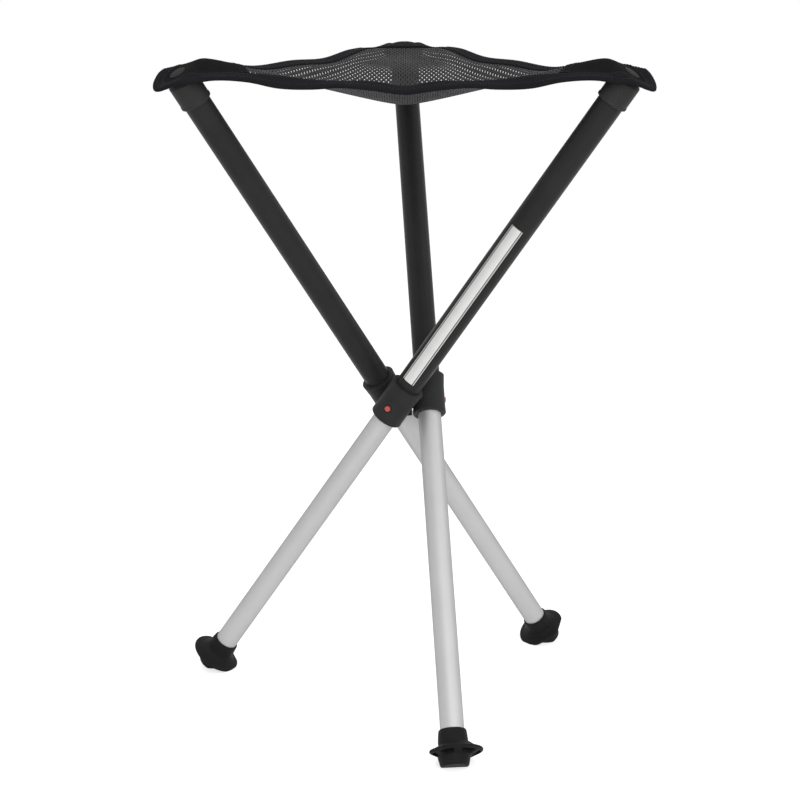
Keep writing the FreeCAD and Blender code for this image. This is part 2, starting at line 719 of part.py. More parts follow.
def layer_solid(top, bottom):
    """A closed solid between two grids of points."""
    count = len(top)
    rows = len(top[0])
    pieces = []
    for column in range(count - 1):
        after = column + 1
        for row in range(rows - 1):
            for grid in (top, bottom):
                pieces.append((grid[column][row], grid[column][row + 1], grid[after][row + 1]))
                pieces.append((grid[column][row], grid[after][row + 1], grid[after][row]))
        for row in (0, rows - 1):
            pieces.append((top[column][row], top[after][row], bottom[column][row]))
            pieces.append((top[after][row], bottom[after][row], bottom[column][row]))
    for column in (0, count - 1):
        for row in range(rows - 1):
            pieces.append((top[column][row], top[column][row + 1], bottom[column][row + 1]))
            pieces.append((top[column][row], bottom[column][row + 1], bottom[column][row]))
    kept = []
    for first, second, third in pieces:
        if (second - first).cross(third - first).Length > SEAT_GAP**2:
            kept.append((first, second, third))
    return closed_solid(kept)


def rivet_holes(solid, indices):
    for index in indices:
        hole = on_leg(ring(RIVET_SHANK_RADIUS + SLIDE_GAP, 0, cap_shoulder, cap_end + 2 * OVERRUN), index)
        solid = solid.cut(hole)
    return solid


def seat_mesh():
    half = MESH_THICKNESS / 2
    count = len(COLUMNS)
    top = [[lifted(x, y, half) for x, y in column] for column in COLUMNS]
    bottom = [[lifted(x, y, -half) for x, y in column] for column in COLUMNS]
    centre_top = lifted(0, 0, half)
    centre_bottom = lifted(0, 0, -half)
    pieces = []
    for column in range(count):
        after = (column + 1) % count
        pieces.append((centre_top, top[column][0], top[after][0]))
        pieces.append((centre_bottom, bottom[column][0], bottom[after][0]))
        for row in range(EDGE_ROW):
            for grid in (top, bottom):
                pieces.append((grid[column][row], grid[column][row + 1], grid[after][row + 1]))
                pieces.append((grid[column][row], grid[after][row + 1], grid[after][row]))
        pieces.append((top[column][EDGE_ROW], top[after][EDGE_ROW], bottom[column][EDGE_ROW]))
        pieces.append((top[after][EDGE_ROW], bottom[after][EDGE_ROW], bottom[column][EDGE_ROW]))
    return rivet_holes(closed_solid(pieces), range(LEG_COUNT))


def edge_binding():
    """Folded tape round the edge: an upper and a lower leg joined outside the mesh."""
    near = MESH_THICKNESS / 2 + LAYER_GAP
    far = near + BINDING_THICKNESS
    legs = []
    for low, high in ((near, far), (-far, -near)):
        top = [[lifted(x, y, high) for x, y in column[BINDING_ROW:]] for column in COLUMNS]
        bottom = [[lifted(x, y, low) for x, y in column[BINDING_ROW:]] for column in COLUMNS]
        legs.append((top, bottom))
    count = len(COLUMNS)
    outer_top = [grid[-1] for grid in legs[0][0]]
    outer_bottom = [grid[-1] for grid in legs[1][1]]
    inner_top = [grid[-1] for grid in legs[0][1]]
    inner_bottom = [grid[-1] for grid in legs[1][0]]
    edge = [column[EDGE_ROW] for column in COLUMNS]
    web_top = []
    web_bottom = []
    web_inner_top = []
    web_inner_bottom = []
    for number in range(count):
        before = Vector(*edge[number - 1], 0)
        after = Vector(*edge[(number + 1) % count], 0)
        run = after - before
        outward = Vector(run.y, -run.x, 0).normalize()
        web_top.append(outer_top[number] + outward * (LAYER_GAP + BINDING_THICKNESS))
        web_bottom.append(outer_bottom[number] + outward * (LAYER_GAP + BINDING_THICKNESS))
        web_inner_top.append(inner_top[number] + outward * LAYER_GAP)
        web_inner_bottom.append(inner_bottom[number] + outward * LAYER_GAP)
    sections = []
    for number in range(count):
        sections.append(
            [
                legs[0][0][number][0],
                outer_top[number],
                web_top[number],
                web_bottom[number],
                outer_bottom[number],
                legs[1][1][number][0],
                legs[1][0][number][0],
                inner_bottom[number],
                web_inner_bottom[number],
                web_inner_top[number],
                inner_top[number],
                legs[0][1][number][0],
            ]
        )
    pieces = []
    corners = len(sections[0])
    for number in range(count):
        after = (number + 1) % count
        for corner in range(corners):
            beside = (corner + 1) % corners
            inner, outer = (beside, corner) if corner in INWARD_SIDES else (corner, beside)
            pieces.append((sections[number][inner], sections[number][outer], sections[after][outer]))
            pieces.append((sections[number][inner], sections[after][outer], sections[after][inner]))
    return closed_solid(pieces)


def corner_panel(index):
    """Solid cloth over the mesh at one corner, from its seam to the binding."""
    near = MESH_THICKNESS / 2 + LAYER_GAP
    owned = [number for number, owner in enumerate(OWNERS) if owner == index]
    count = len(COLUMNS)
    first = next(number for number in owned if (number - 1) % count not in owned)
    ordered = [(first + step) % count for step in range(len(owned))]
    top = []
    bottom = []
    for number in ordered:
        column = COLUMNS[number][SEAM_ROW : BINDING_ROW + 1]
        top.append([lifted(x, y, near + BINDING_THICKNESS) for x, y in column])
        bottom.append([lifted(x, y, near) for x, y in column])
    return rivet_holes(layer_solid(top, bottom), [index])


def build():
    os.makedirs("parts", exist_ok=True)
    save(hub(), "hub")
    for index, name in enumerate(LEG_NAMES):
        save(on_leg(pivot_washer(), index), "pivot_washer_" + name)
        save(on_leg(pivot_screw(), index), "pivot_screw_" + name)
        save(on_leg(joint_sleeve(), index), "joint_sleeve_" + name)
        save(on_leg(release_button(), index), "release_button_" + name)
        save(on_leg(upper_tube(), index), "upper_tube_" + name)
        save(on_leg(lower_tube(), index), "lower_tube_" + name)
        save(on_leg(guide_bush(), index), "guide_bush_" + name)
        save(on_leg(lock_clip(), index), "lock_clip_" + name)
        save(on_leg(top_cap(), index), "top_cap_" + name)
        save(rubber_foot(index), "rubber_foot_" + name)
        save(on_leg(seat_rivet(), index), "seat_rivet_" + name)
        save(corner_panel(index), "corner_panel_" + name)
    save(on_leg(size_plate(), 0), "size_plate")
    save(seat_mesh(), "seat_mesh")
    save(edge_binding(), "edge_binding")


build()
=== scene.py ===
import math

import bmesh
import bpy
import numpy as np
from bpy.props import FloatProperty, FloatVectorProperty, PointerProperty
from mathutils import Matrix, Vector


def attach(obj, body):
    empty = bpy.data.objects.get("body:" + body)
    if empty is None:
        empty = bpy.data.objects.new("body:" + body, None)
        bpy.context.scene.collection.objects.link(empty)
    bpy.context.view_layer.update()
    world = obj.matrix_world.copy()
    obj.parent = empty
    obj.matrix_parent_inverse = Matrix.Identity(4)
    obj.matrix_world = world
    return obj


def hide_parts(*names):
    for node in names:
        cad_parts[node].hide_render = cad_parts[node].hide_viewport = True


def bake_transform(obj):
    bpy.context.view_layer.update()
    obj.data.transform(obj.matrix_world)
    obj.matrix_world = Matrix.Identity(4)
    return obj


bl_info = {
    "name": "Folding tripod stool",
    "version": (1, 0, 0),
    "blender": (4, 5, 0),
    "location": "3D View > Sidebar > Stool",
    "description": "Builds the finished pieces of a folding stool with a mesh seat and telescopic legs",
    "category": "Object",
}

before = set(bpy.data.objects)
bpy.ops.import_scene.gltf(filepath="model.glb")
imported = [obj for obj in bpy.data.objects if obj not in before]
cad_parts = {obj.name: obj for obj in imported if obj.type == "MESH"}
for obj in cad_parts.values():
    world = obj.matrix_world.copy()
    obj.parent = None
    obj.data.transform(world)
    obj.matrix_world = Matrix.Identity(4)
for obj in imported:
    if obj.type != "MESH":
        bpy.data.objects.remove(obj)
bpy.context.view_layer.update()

# Lengths are in millimetres. A leg is drawn upright about its own axis, with x pointing away
# from the stool's axis and zero where the leg turns on the hub.
METRES = 0.001
LEG_NAMES = ("a", "b", "c")
LEG_COUNT = len(LEG_NAMES)
THIRD_TURN = math.tau / LEG_COUNT
FIRST_LEG_AZIMUTH = math.radians(-113.6)
LEG_LEAN = math.radians(35.52)
PIVOT_RADIUS = 24.75
PIVOT_HEIGHT = 305.5

# Seat outline and sling
SEAT_RIVET_HEIGHT = 408.2
TIP_RADIUS = 22.5
EDGE_MID_RADIUS = 112.0
BELLY_HEIGHT = 602.0
BELLY_ROUND = 15.0
CORNER_RISE = 0.25
FRONT_RISE = 0.255
REAR_RISE = 0.4
REAR_INNER_RISE = 0.25
REAR_STEEP_FROM = 0.4
# Soft swellings under the rear corner: rise, distance from the axis, spread along and across
REAR_SWELLINGS = ((3.6, 180.0, 32.0, 46.0), (9.5, 92.0, 34.0, 62.0))
HUMP_ROUND = 4.5
RIM_REACH = 28.0
CLAMP_RADIUS = 9.0
TIP_LIFT = 2.2
FRONT_HEM_TOPS = (625.2, 629.6, 629.6, 631.6, 635.7, 637.8, 638.0, 637.4)
FRONT_HEM_LOWS = (619.9, 623.4, 626.2, 624.8, 626.2, 632.2, 634.2, 630.9)
REAR_RIGHT_RIDGES = (644.3, 644.2, 637.6, 641.2, 642.2, 648.4, 647.2, 651.2)
REAR_LEFT_RIDGES = (644.1, 643.2, 638.8, 641.5, 641.0, 646.8, 647.1, 650.4)
REAR_BAND_RISES = (-4.0, -1.0, 3.0, 4.0, 4.0, 2.0, -3.0, -6.0)
BINDING_WIDTH = 11.0
STITCH_GAP = 0.9
STITCH_RADIUS = 0.32
STITCH_RINGS = 5
STITCH_SIDES = 6
STITCH_AHEAD = 0.2
STITCH_BLUNT = 0.12
STITCH_SINK = 0.7
PANEL_START = 180.0
FOLD_RING = 75.0
FRONT_EDGE = 2


# Legs and seat outline
def leg_matrix(index):
    """Carries a leg drawn upright about its own axis to its place, in millimetres."""
    turn = Matrix.Rotation(FIRST_LEG_AZIMUTH + index * THIRD_TURN, 4, "Z")
    lean = Matrix.Rotation(-LEG_LEAN, 4, "X")
    return turn @ Matrix.Translation((PIVOT_RADIUS, 0, PIVOT_HEIGHT)) @ lean


RIVETS = [leg_matrix(index) @ Vector((0, 0, SEAT_RIVET_HEIGHT)) for index in range(LEG_COUNT)]
CORNER_TURNS = [math.atan2(rivet.y, rivet.x) for rivet in RIVETS]
corner_radius = math.hypot(RIVETS[0].x, RIVETS[0].y)
edge_across = corner_radius * math.cos(THIRD_TURN / 2)
edge_along = corner_radius * math.sin(THIRD_TURN / 2)
EDGE_CURVE_RADIUS = ((edge_across - EDGE_MID_RADIUS) ** 2 + edge_along**2 - TIP_RADIUS**2) / (
    2 * (TIP_RADIUS + edge_across - EDGE_MID_RADIUS)
)
EDGE_CENTRE_REACH = EDGE_MID_RADIUS + EDGE_CURVE_RADIUS
EDGE_CENTRES = [
    Vector((math.cos(turn + THIRD_TURN / 2), math.sin(turn + THIRD_TURN / 2))) * EDGE_CENTRE_REACH
    for turn in CORNER_TURNS
]


def wrapped(turn):
    return (turn + math.pi) % math.tau - math.pi


def heading(start, end):
    return math.atan2(end.y - start.y, end.x - start.x)


TIP_HALF_TURN = wrapped(heading(RIVETS[0], EDGE_CENTRES[0]) - CORNER_TURNS[0])
EDGE_MIDDLE_TURNS = [turn + THIRD_TURN / 2 + math.pi for turn in CORNER_TURNS]
EDGE_HALF_TURN = abs(wrapped(heading(EDGE_CENTRES[0], RIVETS[0]) - EDGE_MIDDLE_TURNS[0]))


def rivet_gaps(x, y):
    return np.stack([np.hypot(x - rivet.x, y - rivet.y) for rivet in RIVETS])


def nearest_edge(x, y):
    """Edge beside each point, place along it from -1 to 1, inset from it and its hold on the height."""
    gaps = np.stack([np.hypot(x - centre.x, y - centre.y) - EDGE_CURVE_RADIUS for centre in EDGE_CENTRES])
    edge = gaps.argmin(axis=0)
    depth = gaps.min(axis=0)
    place = np.zeros_like(x)
    hold = np.ones_like(x)
    for index, centre in enumerate(EDGE_CENTRES):
        off_middle = np.arctan2(y - centre.y, x - centre.x) - EDGE_MIDDLE_TURNS[index]
        along = -wrapped(off_middle) / EDGE_HALF_TURN
        place = np.where(edge == index, np.clip(along, -1, 1), place)
    for index, rivet in enumerate(RIVETS):
        turn = wrapped(np.arctan2(y - rivet.y, x - rivet.x) - CORNER_TURNS[index])
        at_tip = np.abs(turn) < TIP_HALF_TURN
        edge = np.where(at_tip, np.where(turn > 0, index, (index - 1) % LEG_COUNT), edge)
        place = np.where(at_tip, np.where(turn > 0, -1.0, 1.0), place)
        depth = np.where(at_tip, TIP_RADIUS - np.hypot(x - rivet.x, y - rivet.y), depth)
        hold = np.where(at_tip, (turn / TIP_HALF_TURN) ** 2, hold)
    return edge, place, depth, hold


def eased(share):
    kept = np.clip(share, 0, 1)
    return kept * kept * (3 - 2 * kept)


def read_along(values, share):
    """Value at each share of the way along a smooth curve through evenly spaced values."""
    values = np.asarray(values)
    slopes = np.gradient(values)
    slopes[[0, -1]] = 0
    spot = np.clip(share, 0, 1) * (len(values) - 1)
    low = np.minimum(spot.astype(int), len(values) - 2)
    part = spot - low
    ahead = eased(part)
    leaving = part * (1 - part) ** 2
    arriving = part**2 * (part - 1)
    level = values[low] * (1 - ahead) + values[low + 1] * ahead
    return level + slopes[low] * leaving + slopes[low + 1] * arriving


def edge_reach(turn):
    """Distance from the axis to the seat's edge in each direction."""
    from_middle = wrapped(LEG_COUNT * (turn - CORNER_TURNS[0]) + math.pi) / LEG_COUNT
    side = EDGE_CENTRE_REACH * np.sin(from_middle)
    inside = np.maximum(EDGE_CURVE_RADIUS**2 - side**2, 0)
    return np.minimum(EDGE_CENTRE_REACH * np.cos(from_middle) - np.sqrt(inside), corner_radius)


def sling_height(x, y):
    """Height of the sling before its edges are pulled up or down by the binding."""
    reach = np.hypot(x, y)
    turn = np.arctan2(y, x)
    corner_share = (1 + np.cos(LEG_COUNT * (turn - CORNER_TURNS[0]))) / 2
    front = np.abs(wrapped(turn + math.pi / 2)) < THIRD_TURN / 2
    whole_rise = np.where(front, FRONT_RISE, REAR_RISE)
    inner_rise = np.where(front, FRONT_RISE, REAR_INNER_RISE)
    rise = inner_rise + (CORNER_RISE - inner_rise) * corner_share
    sling = BELLY_HEIGHT + rise * (np.sqrt(reach**2 + BELLY_ROUND**2) - BELLY_ROUND)
    edge = edge_reach(turn)
    steep = np.clip((reach / edge - REAR_STEEP_FROM) / (1 - REAR_STEEP_FROM), 0, 1)
    sling = sling + (whole_rise - inner_rise) * (1 - corner_share) * edge * steep**2
    for swell, from_axis, along, across in REAR_SWELLINGS:
        sling = sling + swell * np.exp(-(((y - from_axis) / along) ** 2 + (x / across) ** 2) / 2)
    nearest = rivet_gaps(x, y).argmin(axis=0)
    face = np.zeros_like(x)
    for index, rivet in enumerate(RIVETS):
        up = leg_matrix(index).to_3x3() @ Vector((0, 0, 1))
        leaning = up.x * (x - rivet.x) + up.y * (y - rivet.y)
        out = leaning / math.hypot(up.x, up.y)
        lifted = TIP_LIFT * eased((out - CLAMP_RADIUS) / (TIP_RADIUS - CLAMP_RADIUS))
        plane = rivet.z - leaning / up.z + lifted
        face = np.where(nearest == index, plane, face)
    low = np.minimum(sling, face)
    high = np.maximum(sling, face)
    return low - HUMP_ROUND * np.log1p(np.exp((low - high) / HUMP_ROUND))


def sheet_height(x, y):
    """Height of the middle of the cloth over each point of the plan."""
    edge, place, depth, hold = nearest_edge(x, y)
    height = sling_height(x, y)
    from_clamp = rivet_gaps(x, y).min(axis=0) - CLAMP_RADIUS
    hold = hold * eased(from_clamp / (TIP_RADIUS - CLAMP_RADIUS))
    front = edge == FRONT_EDGE
    share = (1 + np.where(edge == 0, place, -place)) / 2
    ridge = np.where(edge == 0, read_along(REAR_RIGHT_RIDGES, share), read_along(REAR_LEFT_RIDGES, share))
    rise = read_along(REAR_BAND_RISES, share)
    hem_top = np.where(front, read_along(FRONT_HEM_TOPS, np.abs(place)), ridge - np.maximum(rise, 0))
    hem_low = np.where(front, read_along(FRONT_HEM_LOWS, np.abs(place)), ridge + np.minimum(rise, 0))
    rim = hem_low + (hem_top - hem_low) * depth / BINDING_WIDTH
    inner = height + (hem_top - height) * hold * eased((RIM_REACH - depth) / (RIM_REACH - BINDING_WIDTH))
    return np.where(depth < BINDING_WIDTH, height + (rim - height) * hold, inner)


def on_sheet(x, y, lift):
    """Points lifted off the middle of the cloth along its normal, as an array of rows."""
    step = 1.2
    slope_x = (sheet_height(x + step, y) - sheet_height(x - step, y)) / (2 * step)
    slope_y = (sheet_height(x, y + step) - sheet_height(x, y - step)) / (2 * step)
    length = np.sqrt(slope_x**2 + slope_y**2 + 1)
    raised = sheet_height(x, y) + lift / length
    return np.stack([x - slope_x / length * lift, y - slope_y / length * lift, raised], axis=-1)


def seat_outline(step):
    """Edge points, inward directions and owner corners, going once round the seat."""
    points = []
    inwards = []
    for index in range(LEG_COUNT):
        rivet = Vector(RIVETS[index][:2])
        count = math.ceil(2 * TIP_HALF_TURN * TIP_RADIUS / step)
        for number in range(count):
            turn = CORNER_TURNS[index] - TIP_HALF_TURN + 2 * TIP_HALF_TURN * number / count
            inward = -Vector((math.cos(turn), math.sin(turn)))
            points.append(rivet - inward * TIP_RADIUS)
            inwards.append(inward)
        count = math.ceil(2 * EDGE_HALF_TURN * EDGE_CURVE_RADIUS / step)
        for number in range(count):
            turn = EDGE_MIDDLE_TURNS[index] + EDGE_HALF_TURN - 2 * EDGE_HALF_TURN * number / count
            inward = Vector((math.cos(turn), math.sin(turn)))
            points.append(EDGE_CENTRES[index] + inward * EDGE_CURVE_RADIUS)
            inwards.append(inward)
    return np.array(points), np.array(inwards)


def nearest_corner(x, y):
    """Corner whose third of the seat holds each point, and the distance towards that corner."""
    turns = np.arctan2(y, x)
    apart = np.stack([np.abs(wrapped(turns - corner)) for corner in CORNER_TURNS])
    owner = apart.argmin(axis=0)
    towards = np.hypot(x, y) * np.cos(apart.min(axis=0))
    return owner, towards


def from_corner(index, towards, aside):
    """Places on the plan, from distances towards a corner and to the left of that direction."""
    turn = CORNER_TURNS[index]
    x = towards * math.cos(turn) - aside * math.sin(turn)
    y = towards * math.sin(turn) + aside * math.cos(turn)
    return x, y


# Mesh helpers
def quads(rings, sides, first=0, round_ring=True, last_to_first=False):
    """Faces between rings of points that are numbered ring by ring."""
    faces = []
    for ring in range(rings if last_to_first else rings - 1):
        low = first + ring * sides
        high = first + (ring + 1) % rings * sides
        for side in range(sides if round_ring else sides - 1):
            beside = (side + 1) % sides
            faces.append((low + side, high + side, high + beside, low + beside))
    return faces


def new_object(name, data):
    made = bpy.data.objects.new(name, data)
    bpy.context.scene.collection.objects.link(made)
    return made


def new_piece(name, mesh, materials, sharp):
    """A piece with smooth faces that meet in sharp edges beyond an angle in degrees."""
    mesh.polygons.foreach_set("use_smooth", [True] * len(mesh.polygons))
    mesh.set_sharp_from_angle(angle=math.radians(sharp))
    for material in materials:
        mesh.materials.append(material)
    piece = new_object(name, mesh)
    return piece


def cloth_piece(name, points, faces, others, materials):
    """A piece from points in millimetres, with the second material on the other faces."""
    mesh = bpy.data.meshes.new(name)
    rows = [tuple(float(value) * METRES for value in point) for point in points]
    mesh.from_pydata(rows, [], faces + others)
    mesh.validate()
    piece = new_piece(name, mesh, materials, 50.0)
    share = [0] * len(faces) + [1] * (len(mesh.polygons) - len(faces))
    mesh.polygons.foreach_set("material_index", share)
    return piece


def mesh_of(points, faces):
    """A tidy mesh in millimetres, with points on the axis joined and normals outwards."""
    mesh = bpy.data.meshes.new("shape")
    mesh.from_pydata(points, [], faces)
    form = bmesh.new()
    form.from_mesh(mesh)
    bmesh.ops.remove_doubles(form, verts=form.verts, dist=0.001)
    bmesh.ops.dissolve_degenerate(form, edges=form.edges, dist=0.0005)
    bmesh.ops.recalc_face_normals(form, faces=form.faces)
    form.to_mesh(mesh)
    form.free()
    return mesh


def rounded(corners, steps=5):
    """A profile of (radius, height) corners, with an arc at each corner that names a rounding as well."""
    filled = []
    count = len(corners)
    for number, (radius, height, *rounding) in enumerate(corners):
        here = Vector((radius, height))
        if not rounding:
            filled.append(here)
            continue
        before = (Vector(corners[number - 1][:2]) - here).normalized()
        after = (Vector(corners[(number + 1) % count][:2]) - here).normalized()
        half = before.angle(after) / 2
        reach = rounding[0] / math.tan(half)
        start = here + before * reach
        end = here + after * reach
        centre = here + (before + after).normalized() * (rounding[0] / math.sin(half))
        for step in range(steps + 1):
            spoke = (start - centre).lerp(end - centre, step / steps)
            filled.append(centre + spoke.normalized() * rounding[0])
    return filled


def lathe(corners, segments):
    """A closed mesh: a profile of corners turned about the z axis."""
    points = []
    profile = rounded(corners)
    for segment in range(segments):
        turn = math.tau * segment / segments
        for corner in profile:
            points.append(Vector((corner.x * math.cos(turn), corner.x * math.sin(turn), corner.y)))
    return mesh_of(points, quads(segments, len(profile), last_to_first=True))


def outward(corners, segments):
    """A turned mesh laid down, so that its axis points away from the stool's axis."""
    mesh = lathe(corners, segments)
    mesh.transform(Matrix.Rotation(math.pi / 2, 4, "Y"))
    return mesh


def worked(mesh, *modifiers):
    """The mesh after the modifiers, each given as (kind, values)."""
    holder = new_object("worked", mesh)
    for kind, values in modifiers:
        modifier = holder.modifiers.new(kind, kind)
        for key, value in values.items():
            setattr(modifier, key, value)
    result = bpy.data.meshes.new_from_object(holder.evaluated_get(bpy.context.evaluated_depsgraph_get()))
    bpy.data.objects.remove(holder)
    return result


def combined(mesh, other, operation):
    """The mesh joined with or cut by another one."""
    tool = new_object("tool", other)
    bpy.context.view_layer.update()
    result = worked(mesh, ("BOOLEAN", {"object": tool, "operation": operation, "solver": "EXACT"}))
    bpy.data.objects.remove(tool)
    return result


def leg_pieces(kind, mesh, material, node, body="leg", sharp=35.0):
    """Puts a copy of a mesh drawn upright about a leg's axis on each leg, for the solid there."""
    for index, leg in enumerate(LEG_NAMES):
        name = kind + "_" + leg
        placed = mesh.copy()
        placed.name = name
        placed.materials.clear()
        placed.transform(Matrix.Scale(METRES, 4) @ leg_matrix(index))
        piece = new_piece(name, placed, [material], sharp)
        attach(piece, body + "_" + leg)
        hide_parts(node + "_" + leg)


# Material helpers
class Tree:
    """The node tree of a material or a sky, with short calls that add and join nodes."""

    def __init__(self, owner):
        owner.use_nodes = True
        self.nodes = owner.node_tree.nodes
        self.links = owner.node_tree.links

    def add(self, kind, inputs=None, **values):
        node = self.nodes.new("ShaderNode" + kind)
        for key, value in values.items():
            setattr(node, key, value)
        for key, value in (inputs or {}).items():
            if isinstance(value, bpy.types.NodeSocket):
                self.links.new(value, node.inputs[key])
            else:
                node.inputs[key].default_value = value
        return node

    def spread(self, value, low, high, start=0.3, end=0.7):
        """A value from start to end carried over to the span from low to high."""
        inputs = {"Value": value, "From Min": start, "From Max": end, "To Min": low, "To Max": high}
        return self.add("MapRange", inputs).outputs["Result"]

    def blend(self, share, first, second):
        """The first colour where the share is 0 and the second where it is 1."""
        inputs = {0: share, 6: first, 7: second}
        for key in (6, 7):
            if not isinstance(inputs[key], bpy.types.NodeSocket):
                inputs[key] = (*inputs[key], 1)
        return self.add("Mix", inputs, data_type="RGBA").outputs[2]

    def maths(self, operation, first, second):
        return self.add("Math", {0: first, 1: second}, operation=operation).outputs[0]

    def bump(self, height, distance, strength):
        inputs = {"Height": height, "Distance": distance, "Strength": strength}
        return self.add("Bump", inputs).outputs["Normal"]

    def seen_rays(self):
        """1 where a ray comes from the camera, a reflection or a clear piece."""
        rays = self.add("LightPath").outputs
        seen = self.maths("MAXIMUM", rays["Is Camera Ray"], rays["Is Glossy Ray"])
        return self.maths("MAXIMUM", seen, rays["Is Transmission Ray"])


class Look(Tree):
    """A new material, with noises and mixtures of colours for its surface."""

    def __init__(self, name, index=None):
        self.material = bpy.data.materials.new(name)
        super().__init__(self.material)
        self.shader = self.nodes["Principled BSDF"]
        self.place = self.coordinates(index)

    def coordinates(self, index):
        """Places in metres, along the leg's own axes if one is named."""
        source = self.add("TexCoord").outputs["Object"]
        if index is None:
            return source
        upright = (Matrix.Scale(METRES, 4) @ leg_matrix(index) @ Matrix.Scale(1 / METRES, 4)).inverted()
        turned = {"Vector": source, "Location": upright.to_translation(), "Rotation": upright.to_euler()}
        return self.add("Mapping", turned).outputs["Vector"]

    def noise(self, scale, detail=3.0, stretch=None):
        """Noise from 0 to 1, stretched by a scale for each direction if one is given."""
        place = self.place
        if stretch:
            place = self.add("Mapping", {"Vector": place, "Scale": stretch}).outputs["Vector"]
        inputs = {"Vector": place, "Scale": scale, "Detail": detail, "Roughness": 0.6}
        return self.add("TexNoise", inputs).outputs["Fac"]

    def mottled(self, value, colour, dark, light):
        """A colour that varies from dark to light times itself."""
        return self.blend(self.spread(value, 0.0, 1.0), shaded(colour, dark), shaded(colour, light))

    def finish(self, colour, roughness, normal, **values):
        """The material, with its colour, roughness and normal joined up and other values set."""
        for key, source in (("Base Color", colour), ("Roughness", roughness), ("Normal", normal)):
            self.links.new(source, self.shader.inputs[key])
        for key, value in values.items():
            self.shader.inputs[key.replace("_", " ")].default_value = value
        return self.material


def shaded(colour, factor):
    return tuple(min(1.0, value * factor) for value in colour)


def moulded_finish(name, colour, roughness, grain=2600.0, depth=0.00005, gloss=0.1):
    """Moulded plastic: fine spark grain, faint flow marks and slightly polished spots."""
    tree = Look(name)
    flow = tree.noise(45.0, 4.0)
    fine = tree.noise(grain, 2.0)
    tone = tree.mottled(flow, colour, 0.86, 1.16)
    grainy = tree.spread(fine, roughness - 0.05, roughness + 0.05)
    rough = tree.maths("ADD", tree.spread(flow, -0.05, 0.05), grainy)
    return tree.finish(tone, rough, tree.bump(fine, depth, 0.6), Specular_IOR_Level=gloss)


def painted_tube_finish(name, colour, index):
    """Satin powder coat: soft orange peel and long, faint rub marks from sliding hands."""
    tree = Look(name, index)
    peel = tree.noise(900.0, 2.0)
    rub = tree.noise(1.0, 4.0, (260.0, 260.0, 6.0))
    tone = tree.mottled(tree.noise(30.0), colour, 0.9, 1.12)
    tone = tree.blend(tree.spread(rub, 0.0, 0.35, 0.62, 0.8), tone, shaded(colour, 1.7))
    rough = tree.maths("ADD", tree.spread(peel, 0.36, 0.44), tree.spread(rub, -0.04, 0.05))
    return tree.finish(tone, rough, tree.bump(peel, 0.00002, 0.5), Specular_IOR_Level=0.1)


def drawn_metal_finish(name, colour, roughness, index=None, metallic=1.0, edge=1.0):
    """Satin anodised tube: fine draw lines along it, faint cloudiness and small scuffs. An edge value below 1
    darkens the reflection towards the tube's edges as painted shade.
    """
    tree = Look(name, index)
    lines = tree.noise(1.0, 3.0, (2600.0, 2600.0, 14.0))
    scuff = tree.noise(1.0, 4.0, (500.0, 500.0, 70.0))
    cloud = tree.noise(22.0)
    tone = tree.mottled(cloud, colour, 0.965, 1.03)
    tone = tree.blend(tree.spread(scuff, 0.0, 0.25, 0.7, 0.85), tone, shaded(colour, 0.8))
    drawn = tree.spread(lines, roughness - 0.05, roughness + 0.05)
    rough = tree.maths("ADD", drawn, tree.spread(cloud, -0.02, 0.02))
    # The edge value tints the reflection at grazing angles; below 1 it paints shade along the tube's edges.
    edge_shade_tint = (edge, edge, edge, 1.0)
    return tree.finish(tone, rough, tree.bump(lines, 0.000012, 0.5), Metallic=metallic, Specular_Tint=edge_shade_tint)


def rubber_finish(name, colour):
    """Black rubber: matt, slightly dusty in its hollows, with a pebbled skin."""
    tree = Look(name)
    skin = tree.noise(1500.0)
    dust = tree.noise(70.0, 5.0)
    tone = tree.blend(tree.spread(dust, 0.0, 0.5, 0.5, 0.8), colour, shaded(colour, 1.7))
    rough = tree.spread(skin, 0.52, 0.68)
    return tree.finish(tone, rough, tree.bump(skin, 0.00006, 0.6), Specular_IOR_Level=0.08)


def cloth_finish(name, colour, light, pitch):
    """Woven cloth: over and under threads both ways, with slubs and a matt fuzz."""
    tree = Look(name)
    scale = math.tau / pitch / METRES
    axes = tree.add("SeparateXYZ", {"Vector": tree.place})
    waves = []
    for axis in ("X", "Y"):
        turned_by = tree.maths("MULTIPLY", axes.outputs[axis], scale)
        waves.append(tree.maths("SINE", turned_by, 0.0))
    weave = tree.maths("MULTIPLY", waves[0], waves[1])
    fuzz = tree.noise(2200.0)
    slub = tree.noise(1.0, 3.0, (60.0, 300.0, 60.0))
    height = tree.maths("ADD", tree.spread(weave, 0.0, 0.7, -1.0, 1.0), tree.spread(fuzz, 0.0, 0.3))
    tone = tree.blend(tree.spread(weave, 0.0, 1.0, -0.8, 0.9), shaded(colour, 0.75), light)
    tone = tree.blend(tree.spread(slub, 0.0, 0.3), tone, shaded(light, 1.25))
    rough = tree.spread(fuzz, 0.78, 0.92)
    return tree.finish(tone, rough, tree.bump(height, 0.00025, 0.8), Specular_IOR_Level=0.05)


def thread_finish(name, colour, light):
    """Round polyester yarn: fine twisted filaments with a faint sheen."""
    tree = Look(name)
    inputs = {"Vector": tree.place, "Scale": 900.0, "Distortion": 1.5, "Detail": 2.0}
    twist = tree.add("TexWave", inputs, bands_direction="DIAGONAL").outputs["Fac"]
    worn = tree.noise(35.0, 4.0)
    tone = tree.blend(tree.spread(twist, 0.0, 1.0, 0.1, 0.9), colour, light)
    tone = tree.blend(tree.spread(worn, 0.0, 0.4), tone, shaded(light, 1.2))
    rough = tree.spread(worn, 0.55, 0.7)
    normal = tree.bump(twist, 0.00008, 0.7)
    return tree.finish(tone, rough, normal, Sheen_Weight=0.03, Sheen_Roughness=0.5, Specular_IOR_Level=0.1)


# Angles round the tube, from the plate's middle, between which the dark line inside its border lies
PLATE_LINE = (0.385, 0.455)


